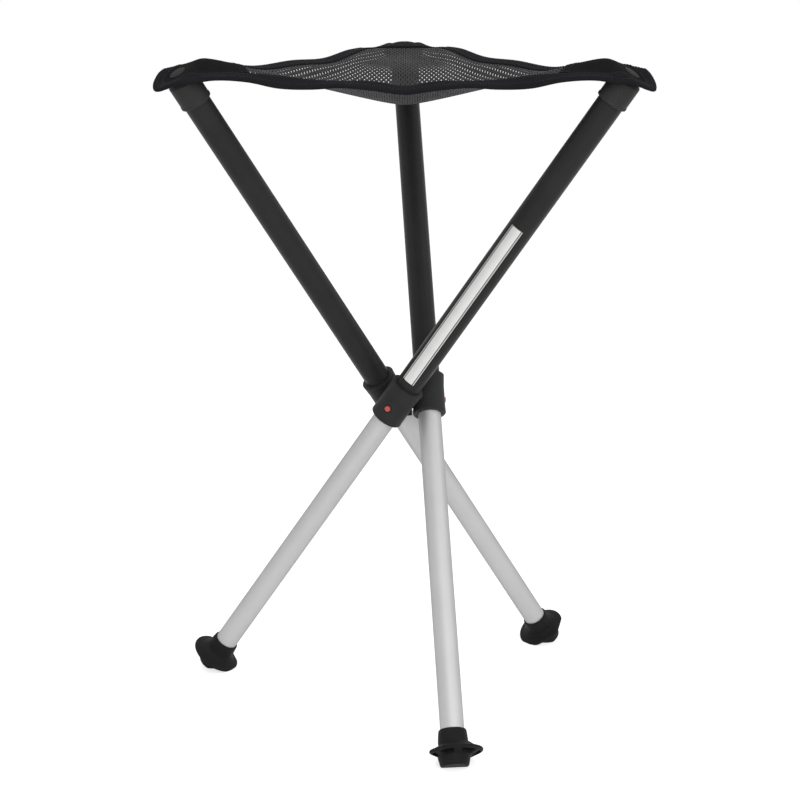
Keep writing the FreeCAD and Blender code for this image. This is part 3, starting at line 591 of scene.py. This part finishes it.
def plate_finish(name, colour, index):
    """Bare silver foil plate: fine brushed grain, with a dark line inside a thin silver border."""
    tree = Look(name, index)
    axes = tree.add("SeparateXYZ", {"Vector": tree.place})
    turn = tree.maths("ARCTAN2", axes.outputs["Y"], axes.outputs["X"])
    away = tree.maths("ABSOLUTE", turn, 0.0)
    past_field = tree.maths("GREATER_THAN", away, PLATE_LINE[0])
    before_border = tree.maths("LESS_THAN", away, PLATE_LINE[1])
    grain = tree.noise(1.0, 3.0, (900.0, 900.0, 40.0))
    cloud = tree.noise(60.0, 4.0)
    tone = tree.mottled(cloud, colour, 0.94, 1.04)
    tone = tree.blend(tree.maths("MULTIPLY", past_field, before_border), tone, (0.012, 0.012, 0.012))
    rough = tree.maths("ADD", tree.spread(grain, 0.36, 0.46), tree.spread(cloud, -0.03, 0.03))
    return tree.finish(tone, rough, tree.bump(grain, 0.00001, 0.4), Metallic=0.55)


def clothe(node, material):
    """Gives a carried-over solid its finish."""
    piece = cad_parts[node]
    piece.data.materials.clear()
    piece.data.materials.append(material)


# Settings
def number_setting(name, description, value, least, most):
    return FloatProperty(name=name, description=description, default=value, min=least, max=most)


def length_setting(name, description, value, least, most):
    return number_setting(name, description + ", in millimetres", value, least, most)


def colour_setting(name, description, value):
    told = "Colour of " + description
    return FloatVectorProperty(name=name, description=told, default=value, subtype="COLOR")


class StoolSeatSettings(bpy.types.PropertyGroup):
    thread_width: length_setting("Thread width", "Width of the net's threads and holes", 1.2, 0.8, 3.0)
    hole_length: length_setting("Hole length", "Length of the net's holes", 4.7, 1.6, 8.0)
    net_thickness: length_setting("Net thickness", "Thickness of the net", 1.1, 0.3, 1.2)
    stitch_length: length_setting("Stitch length", "Length of one stitch", 2.6, 1.5, 5.0)
    net_colour: colour_setting("Net", "the net's threads", (0.019, 0.019, 0.0195))
    binding_colour: colour_setting("Binding", "the tape round the edge", (0.012, 0.012, 0.014))
    panel_colour: colour_setting("Corner cloth", "the solid corners", (0.009, 0.009, 0.0095))
    rivet_colour: colour_setting("Rivets", "the corner rivets", (0.030, 0.030, 0.031))


class StoolLegSettings(bpy.types.PropertyGroup):
    upper_colour: colour_setting("Upper tubes", "the painted tubes", (0.026, 0.026, 0.026))
    lower_colour: colour_setting("Lower tubes", "the bare metal tubes", (0.56, 0.56, 0.56))
    moulding_colour: colour_setting("Mouldings", "sleeves and caps", (0.030, 0.030, 0.030))
    button_colour: colour_setting("Buttons", "the release buttons", (0.60, 0.12, 0.11))
    rubber_colour: colour_setting("Feet", "the rubber feet", (0.014, 0.014, 0.014))
    plate_colour: colour_setting("Plate", "the bare plate on one leg", (0.70, 0.70, 0.69))


class StoolStageSettings(bpy.types.PropertyGroup):
    camera_place: FloatVectorProperty(
        name="Camera",
        description="Where the camera stands",
        default=(0.01015, -1.93815, 0.74572),
        subtype="TRANSLATION",
    )
    camera_turn: FloatVectorProperty(
        name="Camera turn",
        description="Direction of the camera",
        default=(math.radians(77.22), 0.0, math.radians(0.4265)),
        subtype="EULER",
    )
    camera_lens: length_setting("Lens", "Focal length of the camera", 88.66, 20.0, 200.0)
    lamp_power: number_setting("Lamp power", "Power of the main lamp, in watts", 30.0, 0.0, 500.0)
    sky_light: number_setting("Sky light", "Strength of the even light from all round", 0.42, 0.0, 2.0)


# Stage
def area_lamp(name, place, aim, size, power):
    lamp = bpy.data.lights.new(name, "AREA")
    lamp.shape = "DISK"
    lamp.size = size
    lamp.energy = power
    holder = new_object(name, lamp)
    holder.location = place
    holder.rotation_euler = (Vector(aim) - Vector(place)).to_track_quat("-Z", "Y").to_euler()


class StoolStage(bpy.types.Operator):
    """Sets up the camera, pale floor, even sky light and soft lamps"""

    bl_idname = "stool.stage"
    bl_label = "Stage"

    # Name, place, height of the spot aimed at, size and share of the main lamp's power
    LAMPS = (
        ("key_lamp", (0.5, -2.7, 1.5), 0.35, 2.0, 1.0),
        ("fill_lamp", (2.1, -0.9, 1.7), 0.35, 2.0, 0.3),
        ("top_lamp", (-0.6, 0.3, 3.0), 0.4, 2.4, 0.6),
    )
    FLOOR_SEGMENTS = 96
    FLOOR_GLOW = 0.68
    # Lengths in millimetres
    FLOOR_DEPTH = 0.5
    FLOOR_RINGS = (400.0, 1200.0, 3000.0, 9000.0)

    def execute(self, context):
        stage = context.scene.stool_stage
        camera = bpy.data.cameras.new("camera")
        camera.lens = stage.camera_lens
        camera.sensor_width = 36.0
        camera.clip_end = 60.0
        holder = new_object("camera", camera)
        holder.location = stage.camera_place
        holder.rotation_euler = stage.camera_turn
        context.scene.camera = holder
        context.scene.view_settings.view_transform = "Standard"
        self.sky(context, stage.sky_light)
        self.floor()
        for name, place, aim, size, share in self.LAMPS:
            area_lamp(name, place, (0, 0, aim), size, stage.lamp_power * share)
        return {"FINISHED"}

    def sky(self, context, strength):
        world = bpy.data.worlds.new("sky")
        context.scene.world = world
        tree = Tree(world)
        level = tree.add("MapRange", {"Value": tree.seen_rays(), "To Min": strength, "To Max": 1.0})
        background = tree.nodes["Background"]
        background.inputs["Color"].default_value = (1, 1, 1, 1)
        tree.links.new(level.outputs["Result"], background.inputs["Strength"])

    def floor(self):
        """A wide round floor that shows as white and keeps a faint shadow."""
        segments = self.FLOOR_SEGMENTS
        points = [(0.0, 0.0, -self.FLOOR_DEPTH)]
        for ring in self.FLOOR_RINGS:
            for number in range(segments):
                turn = math.tau * number / segments
                points.append((ring * math.cos(turn), ring * math.sin(turn), -self.FLOOR_DEPTH))
        faces = [(0, 1 + number, 1 + (number + 1) % segments) for number in range(segments)]
        faces += quads(len(self.FLOOR_RINGS), segments, first=1)
        mesh = bpy.data.meshes.new("floor")
        mesh.from_pydata([tuple(value * METRES for value in point) for point in points], [], faces)
        tree = Look("studio_floor")
        speckle = tree.noise(180.0)
        tone = tree.blend(tree.spread(speckle, 0.0, 1.0), (0.79, 0.79, 0.79), (0.81, 0.81, 0.81))
        rough = tree.spread(speckle, 0.85, 0.95)
        tree.finish(tone, rough, tree.bump(speckle, 0.0001, 0.2), Specular_IOR_Level=0.0)
        level = tree.maths("MULTIPLY", tree.seen_rays(), self.FLOOR_GLOW)
        glow = tree.add("Emission", {"Color": (1, 1, 1, 1), "Strength": level})
        both = tree.add("AddShader", {0: tree.shader.outputs[0], 1: glow.outputs[0]})
        tree.links.new(both.outputs[0], tree.nodes["Material Output"].inputs["Surface"])
        mesh.materials.append(tree.material)
        new_object("floor", mesh)


class StoolSeatNet(bpy.types.Operator):
    """Makes the open net of the seat, thread by thread, in a corner and a middle piece for each leg"""

    bl_idname = "stool.seat_net"
    bl_label = "Seat net"

    # Sideways shift of a hole's side at each of its four rows, in thread widths
    WAISTS = (-0.25, 0.05, -0.25, -0.1)
    # Insets from the seat's edge at which the net and its holes begin
    NET_INSET = 2.0
    HOLE_INSET = 5.0

    def execute(self, context):
        seat = context.scene.stool_seat
        colour = tuple(seat.net_colour)
        yarn = thread_finish("net_yarn", colour, shaded(colour, 1.5))
        # The hole walls get a much darker copy of the yarn: painted shade inside the net's holes.
        wall_shade_yarn = thread_finish("net_yarn_painted_shade", shaded(colour, 0.25), shaded(colour, 0.5))
        width = seat.thread_width
        rise = seat.hole_length / 2
        columns = 2 * math.ceil((corner_radius + TIP_RADIUS) / width)
        rows = 4 * math.ceil((corner_radius + TIP_RADIUS) / rise / 2)
        across, along = np.meshgrid(np.arange(columns + 1), np.arange(rows + 1), indexing="ij")
        x = (across - columns / 2) * width
        y = (along - rows / 2) * rise
        x = x + self.waist(across, along) * width
        top = on_sheet(x, y, seat.net_thickness / 2)
        bottom = on_sheet(x, y, -seat.net_thickness / 2)
        middles = [(grid[:-1, :-1] + grid[1:, :-1] + grid[:-1, 1:] + grid[1:, 1:]) / 4 for grid in (x, y)]
        depth = nearest_edge(*middles)[2]
        owner, towards = nearest_corner(*middles)
        column, row = np.meshgrid(np.arange(columns), np.arange(rows), indexing="ij")
        hole = (column % 2 == 0) & ((row + column % 4) % 4 < 2)
        cloth = (depth > self.NET_INSET) & ~(hole & (depth > self.HOLE_INSET))
        for index, name in enumerate(LEG_NAMES):
            for part, chosen in (("corner", towards >= FOLD_RING), ("middle", towards < FOLD_RING)):
                kept = cloth & chosen & (owner == index)
                piece = self.net_piece("net_" + part + "_" + name, top, bottom, kept, (yarn, wall_shade_yarn))
                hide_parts("seat_mesh")
                fold_with(piece, part)
        return {"FINISHED"}

    def waist(self, across, along):
        """Sideways shift of each grid point that makes the holes long hexagons."""
        left = across % 2 == 0
        phase = np.where(left, (along + across % 4) % 4, (along + (across - 1) % 4) % 4)
        apart = np.choose(phase, self.WAISTS)
        return np.where(left, -apart, apart)

    def net_piece(self, name, top, bottom, kept, yarn_and_wall_shade):
        """A closed mesh of the kept cells, with walls wherever a cell has no neighbour. The walls take the
        second yarn, a darker copy that paints the shade inside the holes.
        """
        numbers = {}
        points = []

        def number_of(side, column, row):
            key = (side, column, row)
            if key not in numbers:
                numbers[key] = len(points)
                points.append((top if side else bottom)[column, row])
            return numbers[key]

        present = {(int(column), int(row)) for column, row in np.argwhere(kept)}
        faces = []
        walls = []
        for column, row in sorted(present):
            ring = [(column, row), (column + 1, row), (column + 1, row + 1), (column, row + 1)]
            beside = [(column, row - 1), (column + 1, row), (column, row + 1), (column - 1, row)]
            faces.append(tuple(number_of(1, *corner) for corner in ring))
            faces.append(tuple(number_of(0, *corner) for corner in reversed(ring)))
            for side, neighbour in enumerate(beside):
                if neighbour not in present:
                    start = ring[side]
                    end = ring[(side + 1) % 4]
                    wall = ((1, end), (1, start), (0, start), (0, end))
                    walls.append(tuple(number_of(face, *corner) for face, corner in wall))
        return cloth_piece(name, points, faces, walls, yarn_and_wall_shade)


def fold_with(piece, part):
    """Bakes a cloth piece's placement into its mesh; corner and middle pieces are treated alike."""
    if part == "corner":
        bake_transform(piece)
    else:
        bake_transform(piece)


def add_stitches(points, faces, path, ups, length):
    """Adds short rounded stitches along a path of points to a mesh's lists."""
    steps = np.linalg.norm(np.diff(path, axis=0), axis=1)
    reached = np.concatenate([[0], np.cumsum(steps)])

    def read(rows, distance):
        return np.array([np.interp(distance, reached, rows[:, axis]) for axis in range(3)])

    count = int(reached[-1] // (length + STITCH_GAP))
    for number in range(count):
        start = (number + 0.5) * reached[-1] / count - length / 2
        first = len(points)
        for ring in range(STITCH_RINGS):
            share = ring / (STITCH_RINGS - 1)
            at = start + length * share
            centre = read(path, at)
            ahead = read(path, at + STITCH_AHEAD) - read(path, at - STITCH_AHEAD)
            up = read(ups, at)
            side = np.cross(ahead, up)
            side = side / max(np.linalg.norm(side), 1e-9)
            up = up / max(np.linalg.norm(up), 1e-9)
            bulge = math.sin(math.pi * (STITCH_BLUNT + (1 - 2 * STITCH_BLUNT) * share))
            spread = STITCH_RADIUS * bulge
            lift = STITCH_RADIUS * (bulge - STITCH_SINK)
            for corner in range(STITCH_SIDES):
                turn = math.tau * corner / STITCH_SIDES
                points.append(centre + up * (lift + spread * math.sin(turn)) + side * spread * math.cos(turn))
        last = first + (STITCH_RINGS - 1) * STITCH_SIDES
        for low in range(first, last, STITCH_SIDES):
            high = low + STITCH_SIDES
            for corner in range(STITCH_SIDES):
                beside = (corner + 1) % STITCH_SIDES
                faces.append((low + corner, low + beside, high + beside, high + corner))
        faces.append(tuple(first + corner for corner in reversed(range(STITCH_SIDES))))
        faces.append(tuple(last + corner for corner in range(STITCH_SIDES)))


class StoolEdgeBinding(bpy.types.Operator):
    """Makes the folded tape round the seat's edge, with its rows of stitches"""

    bl_idname = "stool.edge_binding"
    bl_label = "Edge binding"

    # Inset from the edge and height off the middle of the cloth, along the upper side of the tape's fold
    UPPER_SIDE = (
        (11.0, 0.75),
        (10.85, 1.45),
        (10.3, 1.85),
        (8.0, 2.0),
        (4.5, 2.1),
        (1.6, 1.95),
        (0.1, 1.45),
        (-0.75, 0.75),
    )
    LOWER_SIDE = tuple((inset, -height) for inset, height in reversed(UPPER_SIDE))
    SECTION = (*UPPER_SIDE, (-1.05, 0.0), *LOWER_SIDE, (1.2, -0.65), (1.2, 0.65))
    # Inset of each row of stitches and its lift off the middle of the cloth
    STITCH_ROWS = ((8.9, 2.02), (3.4, 2.08))

    def execute(self, context):
        seat = context.scene.stool_seat
        colour = tuple(seat.binding_colour)
        tape = cloth_finish("binding_tape", colour, shaded(colour, 1.5), 0.9)
        yarn = thread_finish("binding_thread", shaded(colour, 1.3), shaded(colour, 2.6))
        edge, inward = seat_outline(step=3.0)
        inner = edge + inward * BINDING_WIDTH / 2
        owner, towards = nearest_corner(*inner.T)
        groups = owner * 2 + (towards >= FOLD_RING)
        count = len(edge)
        breaks = [number for number in range(count) if groups[number] != groups[number - 1]]
        made = {}
        for position, start in enumerate(breaks):
            end = breaks[(position + 1) % len(breaks)]
            length = (end - start) % count
            run = [(start + step) % count for step in range(length + 1)]
            made.setdefault(int(groups[start]), []).append(run)
        for group, runs in sorted(made.items()):
            index = group // 2
            part = "corner" if group % 2 else "middle"
            points = []
            faces = []
            stitches = []
            for run in runs:
                self.sweep(points, faces, edge[run], inward[run])
            for run in runs:
                for side in (1, -1):
                    for inset, lift in self.STITCH_ROWS:
                        plan = edge[run] + inward[run] * inset
                        path = on_sheet(*plan.T, side * lift)
                        ups = on_sheet(*plan.T, side * lift + side) - path
                        add_stitches(points, stitches, path, ups, seat.stitch_length)
            name = "binding_" + part + "_" + LEG_NAMES[index]
            piece = cloth_piece(name, points, faces, stitches, (tape, yarn))
            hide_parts("edge_binding")
            fold_with(piece, part)
        return {"FINISHED"}

    def sweep(self, points, faces, edge, inward):
        """Adds the tape along one run of edge points to a mesh's lists, closed at both ends."""
        first = len(points)
        size = len(self.SECTION)
        for inset, height in self.SECTION:
            plan = edge + inward * inset
            points.extend(on_sheet(*plan.T, height))
        count = len(edge)
        faces.extend(quads(size, count, first, round_ring=False, last_to_first=True))
        faces.append(tuple(first + corner * count for corner in reversed(range(size))))
        faces.append(tuple(first + corner * count + count - 1 for corner in range(size)))


class StoolCornerCloths(bpy.types.Operator):
    """Makes the solid cloth over each corner, with its folded and stitched seam"""

    bl_idname = "stool.corner_cloths"
    bl_label = "Corner cloths"

    ROWS = 44
    COLUMNS = 48
    # Lift of the cloth's two sides and of its stitches off the middle of the net
    UPPER_LIFT = 1.55
    LOWER_LIFT = 0.7
    STITCH_LIFT = 2.02
    # The folded hem at the seam, the soft rucks that it draws, and where its rows of stitches run
    HEM_RISE = 0.45
    HEM_WIDTH = 9.0
    RUCK_RISE = 0.12
    RUCK_LENGTH = 2.3
    RUCK_SHIFT = 1.3
    SEAM_INSETS = (2.2, 6.4)
    SEAM_POINTS = 80
    SEAM_SHARE = 0.985
    WIDEST_HALF = 120.0
    HALVINGS = 40
    SIDE_GAP = 0.05
    TIP_GAP = 0.06

    def execute(self, context):
        seat = context.scene.stool_seat
        colour = tuple(seat.panel_colour)
        cloth = cloth_finish("corner_cloth", colour, shaded(colour, 1.6), 0.7)
        yarn = thread_finish("corner_thread", shaded(colour, 1.6), shaded(colour, 3.0))
        for index, name in enumerate(LEG_NAMES):
            points, faces, seam = self.panel(index)
            stitches = []
            for path, ups in seam:
                add_stitches(points, stitches, path, ups, seat.stitch_length)
            materials = (cloth, yarn)
            piece = cloth_piece("corner_cloth_" + name, points, faces, stitches, materials)
            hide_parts("corner_panel_" + name)
            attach(piece, "leg_" + name)
        return {"FINISHED"}

    def half_width(self, index, towards):
        """Distance from the corner's middle line to the binding's inner side."""
        low = np.zeros_like(towards)
        high = np.full_like(towards, self.WIDEST_HALF)
        for _ in range(self.HALVINGS):
            middle = (low + high) / 2
            inside = nearest_edge(*from_corner(index, towards, middle))[2] > BINDING_WIDTH + self.SIDE_GAP
            low = np.where(inside, middle, low)
            high = np.where(inside, high, middle)
        return low

    def panel(self, index):
        """Points and faces of a corner's cloth, and the paths of its stitches."""
        rows = self.ROWS
        columns = self.COLUMNS
        end = corner_radius + TIP_RADIUS - BINDING_WIDTH - self.TIP_GAP
        shares = np.sin(np.linspace(0, math.pi / 2, rows))
        towards = PANEL_START + (end - PANEL_START) * shares
        width = self.half_width(index, towards)
        along, across = np.meshgrid(towards, np.linspace(-1, 1, columns), indexing="ij")
        across = across * width[:, None]
        x, y = from_corner(index, along, across)
        from_seam = along - PANEL_START
        hem = self.HEM_RISE * eased(self.HEM_WIDTH - from_seam)
        fading = np.exp(-((from_seam / self.HEM_WIDTH) ** 2))
        ruck = self.RUCK_RISE * np.sin(across / self.RUCK_LENGTH + self.RUCK_SHIFT * index) * fading
        top = on_sheet(x, y, self.UPPER_LIFT + hem + ruck)
        bottom = on_sheet(x, y, np.full_like(x, self.LOWER_LIFT))
        points = [*top.reshape(-1, 3), *bottom.reshape(-1, 3)]
        size = rows * columns
        faces = []
        for quad in quads(rows, columns, round_ring=False):
            faces.append(quad)
            faces.append(tuple(number + size for number in reversed(quad)))
        border = list(range(columns))
        border += [row * columns + columns - 1 for row in range(1, rows)]
        border += [(rows - 1) * columns + column for column in reversed(range(columns - 1))]
        border += [row * columns for row in reversed(range(1, rows - 1))]
        for position, number in enumerate(border):
            after = border[(position + 1) % len(border)]
            faces.append((number, after, after + size, number + size))
        seam = []
        for inset in self.SEAM_INSETS:
            reach = np.full(self.SEAM_POINTS, PANEL_START + inset)
            shares = np.linspace(-self.SEAM_SHARE, self.SEAM_SHARE, self.SEAM_POINTS)
            line = from_corner(index, reach, shares * self.half_width(index, reach))
            path = on_sheet(*line, self.STITCH_LIFT)
            seam.append((path, on_sheet(*line, self.STITCH_LIFT + 1) - path))
        return points, faces, seam


class StoolSeatRivets(bpy.types.Operator):
    """Makes the broad round rivets that hold the cloth's corners to the legs"""

    bl_idname = "stool.seat_rivets"
    bl_label = "Seat rivets"

    PROFILE = (
        (0.0, 391.5),
        (2.6, 391.5, 0.4),
        (2.6, 409.6),
        (7.9, 409.6, 0.1),
        (8.1, 410.2, 0.2),
        (7.4, 410.75, 0.3),
        (6.5, 410.55, 0.3),
        (4.2, 410.85, 1.5),
        (0.0, 410.95),
    )

    def execute(self, context):
        colour = tuple(context.scene.stool_seat.rivet_colour)
        finish = moulded_finish("rivet_moulding", colour, 0.6, 1800.0, gloss=0.05)
        leg_pieces("rivet", lathe(self.PROFILE, 64), finish, "seat_rivet")
        return {"FINISHED"}


# Legs
class StoolTopCaps(bpy.types.Operator):
    """Makes the collars over the top ends of the legs"""

    bl_idname = "stool.top_caps"
    bl_label = "Top caps"

    PROFILE = (
        (13.03, 377.25, 0.15),
        (15.4, 377.25, 0.55),
        (15.4, 379.4, 0.45),
        (14.9, 380.6, 0.8),
        (14.9, 400.6, 2.4),
        (11.0, 405.8, 3.0),
        (8.0, 407.3, 1.0),
        (2.63, 407.3, 0.2),
        (2.63, 391.3),
        (0.0, 391.3),
        (0.0, 379.8),
        (11.7, 379.8, 0.5),
        (11.7, 391.8),
        (13.03, 391.8),
    )

    def execute(self, context):
        # The caps take the moulding colour 1.25 times lighter: painted light on the tops of the legs.
        colour = shaded(context.scene.stool_legs.moulding_colour, 1.25)
        finish = moulded_finish("cap_moulding", colour, 0.5, 1500.0)
        leg_pieces("cap", lathe(self.PROFILE, 72), finish, "top_cap")
        return {"FINISHED"}


class StoolJointSleeves(bpy.types.Operator):
    """Makes the moulded sleeves that turn on the hub and guide the lower tubes"""

    bl_idname = "stool.joint_sleeves"
    bl_label = "Joint sleeves"

    BODY = (
        (11.6, -15.5, 0.3),
        (16.7, -15.5, 1.5),
        (16.4, -8.0, 4.0),
        (16.5, 14.0, 4.0),
        (17.2, 24.0, 0.8),
        (17.5, 26.0, 0.5),
        (13.04, 26.0, 0.35),
        (13.04, 8.0),
        (11.6, 8.0),
    )
    BOSS = ((0.0, -16.75), (7.0, -16.75, 0.4), (7.0, -11.8), (0.0, -11.8))
    SCREW_HOLE = ((0.0, -20.0), (2.55, -20.0), (2.55, -9.0), (0.0, -9.0))
    HEAD_HOLE = ((0.0, -13.5), (4.75, -13.5), (4.75, -9.0), (0.0, -9.0))
    BUTTON_HOLE = (
        (0.0, 9.0),
        (3.78, 9.0),
        (3.78, 14.9),
        (2.88, 14.9),
        (2.88, 15.3),
        (4.3, 15.3, 0.2),
        (4.3, 19.0),
        (0.0, 19.0),
    )

    def execute(self, context):
        colour = tuple(context.scene.stool_legs.moulding_colour)
        finish = moulded_finish("sleeve_moulding", colour, 0.52, 1400.0, 0.00007)
        mesh = combined(lathe(self.BODY, 96), outward(self.BOSS, 48), "UNION")
        for hole, segments in ((self.SCREW_HOLE, 32), (self.HEAD_HOLE, 32), (self.BUTTON_HOLE, 48)):
            mesh = combined(mesh, outward(hole, segments), "DIFFERENCE")
        leg_pieces("sleeve", mesh, finish, "joint_sleeve", sharp=30.0)
        return {"FINISHED"}


class StoolReleaseButtons(bpy.types.Operator):
    """Makes the red push buttons that free the lower tubes"""

    bl_idname = "stool.release_buttons"
    bl_label = "Release buttons"

    PROFILE = (
        (0.0, 13.46),
        (3.7, 13.46, 0.2),
        (3.7, 14.86, 0.2),
        (2.8, 14.86),
        (2.8, 17.2, 0.5),
        (1.4, 17.5, 0.9),
        (0.0, 17.42),
    )

    def execute(self, context):
        colour = tuple(context.scene.stool_legs.button_colour)
        finish = moulded_finish("button_moulding", colour, 0.32, 1600.0, 0.00002)
        leg_pieces("button", outward(self.PROFILE, 48), finish, "release_button", "button")
        return {"FINISHED"}


class StoolRubberFeet(bpy.types.Operator):
    """Makes the rubber feet, each with a cup, a wide ribbed flange set off outwards and a stub"""

    bl_idname = "stool.rubber_feet"
    bl_label = "Rubber feet"

    # Rubber beyond these distances from the leg's axis is kept out of the way of the folded neighbours
    FLANGE_NEST = 21.3
    POCKET_NEST = 18.8
    FLANGE_OFFSET = 2.4
    RIB_COUNT = 6
    RIB_WIDTH = 7.0
    FIRST_RIB_TURN = math.radians(-93.0)
    SKIN_CELL = 0.55

    BODY = (
        (0.0, -373.2),
        (13.5, -373.2, 2.2),
        (15.6, -364.0, 3.0),
        (13.8, -357.5, 1.0),
        (14.5, -350.0, 2.0),
        (13.9, -343.0, 2.0),
        (13.2, -337.7, 1.8),
        (11.56, -337.7),
        (11.56, -352.7),
        (0.0, -352.7),
    )
    DISC = (
        (0.0, -350.5),
        (13.8, -350.8, 1.0),
        (19.0, -354.6, 3.0),
        (25.6, -357.0, 1.1),
        (25.6, -359.2, 0.9),
        (16.0, -363.5, 2.0),
        (0.0, -363.5),
    )
    POCKET = ((14.8, -372.0), (22.8, -372.0), (22.8, -356.8), (14.8, -356.8))

    def execute(self, context):
        finish = rubber_finish("foot_rubber", tuple(context.scene.stool_legs.rubber_colour))
        leg_pieces("foot", self.foot(), finish, "rubber_foot", "lower_leg", 60.0)
        return {"FINISHED"}

    def beside_neighbours(self, mesh, limit):
        """Moves a mesh outwards and flattens it on the two sides where the other feet lie when folded."""
        for vertex in mesh.vertices:
            vertex.co.x += self.FLANGE_OFFSET
            for side in (1, -1):
                towards = Vector((-math.cos(THIRD_TURN / 4), side * math.sin(THIRD_TURN / 4), 0))
                vertex.co -= towards * max(vertex.co.dot(towards) - limit, 0)
        return mesh

    def foot(self):
        """The flange with pockets between its ribs, joined with the cup and stub and cut at the ground."""
        flange = self.beside_neighbours(lathe(self.DISC, 96), self.FLANGE_NEST)
        pockets = self.beside_neighbours(lathe(self.POCKET, 96), self.POCKET_NEST)
        for number in range(self.RIB_COUNT):
            pockets = combined(pockets, self.rib(number), "DIFFERENCE")
        mesh = combined(flange, pockets, "DIFFERENCE")
        mesh = combined(mesh, lathe(self.BODY, 96), "UNION")
        mesh = combined(mesh, self.ground(), "DIFFERENCE")
        remesh = ("REMESH", {"mode": "VOXEL", "voxel_size": self.SKIN_CELL})
        smooth = ("SMOOTH", {"factor": 0.5, "iterations": 2})
        return worked(mesh, remesh, smooth)

    def rib(self, number):
        """A flat bar from the foot's middle outwards, below the flange."""
        half = self.RIB_WIDTH / 2
        bar = self.block((0.0, -half, -374.0), (30.0, half, -350.0))
        turn = self.FIRST_RIB_TURN + math.tau * number / self.RIB_COUNT
        bar.transform(Matrix.Translation((self.FLANGE_OFFSET, 0, 0)) @ Matrix.Rotation(turn, 4, "Z"))
        return bar

    def ground(self):
        """A block whose top is the ground, in the leg's own directions."""
        block = self.block((-400.0, -400.0, -100.0), (400.0, 400.0, 0.0))
        block.transform(leg_matrix(0).inverted())
        return block

    def block(self, low, high):
        corners = [(x, y, z) for x in (low[0], high[0]) for y in (low[1], high[1]) for z in (low[2], high[2])]
        sides = [(0, 1, 3, 2), (4, 6, 7, 5), (0, 4, 5, 1), (2, 3, 7, 6), (0, 2, 6, 4), (1, 5, 7, 3)]
        return mesh_of(corners, sides)


class StoolTubes(bpy.types.Operator):
    """Gives the tubes and the plate on one of them their finishes"""

    bl_idname = "stool.tubes"
    bl_label = "Tubes and plate"

    def execute(self, context):
        legs = context.scene.stool_legs
        bare = tuple(legs.lower_colour)
        for index, name in enumerate(LEG_NAMES):
            upper = painted_tube_finish("upper_tube_paint_" + name, tuple(legs.upper_colour), index)
            # edge=0.1 paints a dark reflection along the lower tubes' edges: painted shade.
            lower = drawn_metal_finish("lower_tube_metal_" + name, bare, 0.5, index, metallic=0.55, edge=0.1)
            clothe("upper_tube_" + name, upper)
            clothe("lower_tube_" + name, lower)
        clothe("size_plate", plate_finish("plate_foil", tuple(legs.plate_colour), 0))
        return {"FINISHED"}


class StoolJointParts(bpy.types.Operator):
    """Gives the hub, screws, washers, guide bushes and spring clips their finishes"""

    bl_idname = "stool.joint_parts"
    bl_label = "Joint parts"

    def execute(self, context):
        hub = moulded_finish("hub_moulding", (0.02, 0.02, 0.02), 0.5)
        washer = moulded_finish("washer_nylon", (0.6, 0.58, 0.54), 0.4)
        bush = moulded_finish("bush_moulding", (0.05, 0.05, 0.05), 0.45)
        screw = drawn_metal_finish("screw_steel", (0.5, 0.5, 0.5), 0.3)
        clip = drawn_metal_finish("spring_strip", (0.35, 0.35, 0.38), 0.3)
        clothe("hub", hub)
        for name in LEG_NAMES:
            clothe("pivot_washer_" + name, washer)
            clothe("pivot_screw_" + name, screw)
            clothe("guide_bush_" + name, bush)
            clothe("lock_clip_" + name, clip)
        return {"FINISHED"}


class StoolPanel(bpy.types.Panel):
    """Lists the stool's settings and the pieces that they make"""

    bl_idname = "VIEW3D_PT_stool"
    bl_label = "Stool"
    bl_space_type = "VIEW_3D"
    bl_region_type = "UI"
    bl_category = "Stool"

    def draw(self, context):
        layout = self.layout
        for group, kind in SETTINGS.items():
            box = layout.box()
            for name in kind.__annotations__:
                box.prop(getattr(context.scene, group), name)
        for operator in OPERATORS:
            layout.operator(operator.bl_idname)


OPERATORS = (
    StoolStage,
    StoolSeatNet,
    StoolEdgeBinding,
    StoolCornerCloths,
    StoolSeatRivets,
    StoolTopCaps,
    StoolJointSleeves,
    StoolReleaseButtons,
    StoolRubberFeet,
    StoolTubes,
    StoolJointParts,
)
SETTINGS = {
    "stool_stage": StoolStageSettings,
    "stool_seat": StoolSeatSettings,
    "stool_legs": StoolLegSettings,
}


def register():
    for kind in (*SETTINGS.values(), *OPERATORS, StoolPanel):
        bpy.utils.register_class(kind)
    for name, kind in SETTINGS.items():
        setattr(bpy.types.Scene, name, PointerProperty(type=kind))


def unregister():
    for name in SETTINGS:
        delattr(bpy.types.Scene, name)
    for kind in (StoolPanel, *OPERATORS, *SETTINGS.values()):
        bpy.utils.unregister_class(kind)


def main():
    register()
    bpy.ops.stool.stage()
    bpy.ops.stool.seat_net()
    bpy.ops.stool.edge_binding()
    bpy.ops.stool.corner_cloths()
    bpy.ops.stool.seat_rivets()
    bpy.ops.stool.top_caps()
    bpy.ops.stool.joint_sleeves()
    bpy.ops.stool.release_buttons()
    bpy.ops.stool.rubber_feet()
    bpy.ops.stool.tubes()
    bpy.ops.stool.joint_parts()


if __name__ == "__main__":
    main()
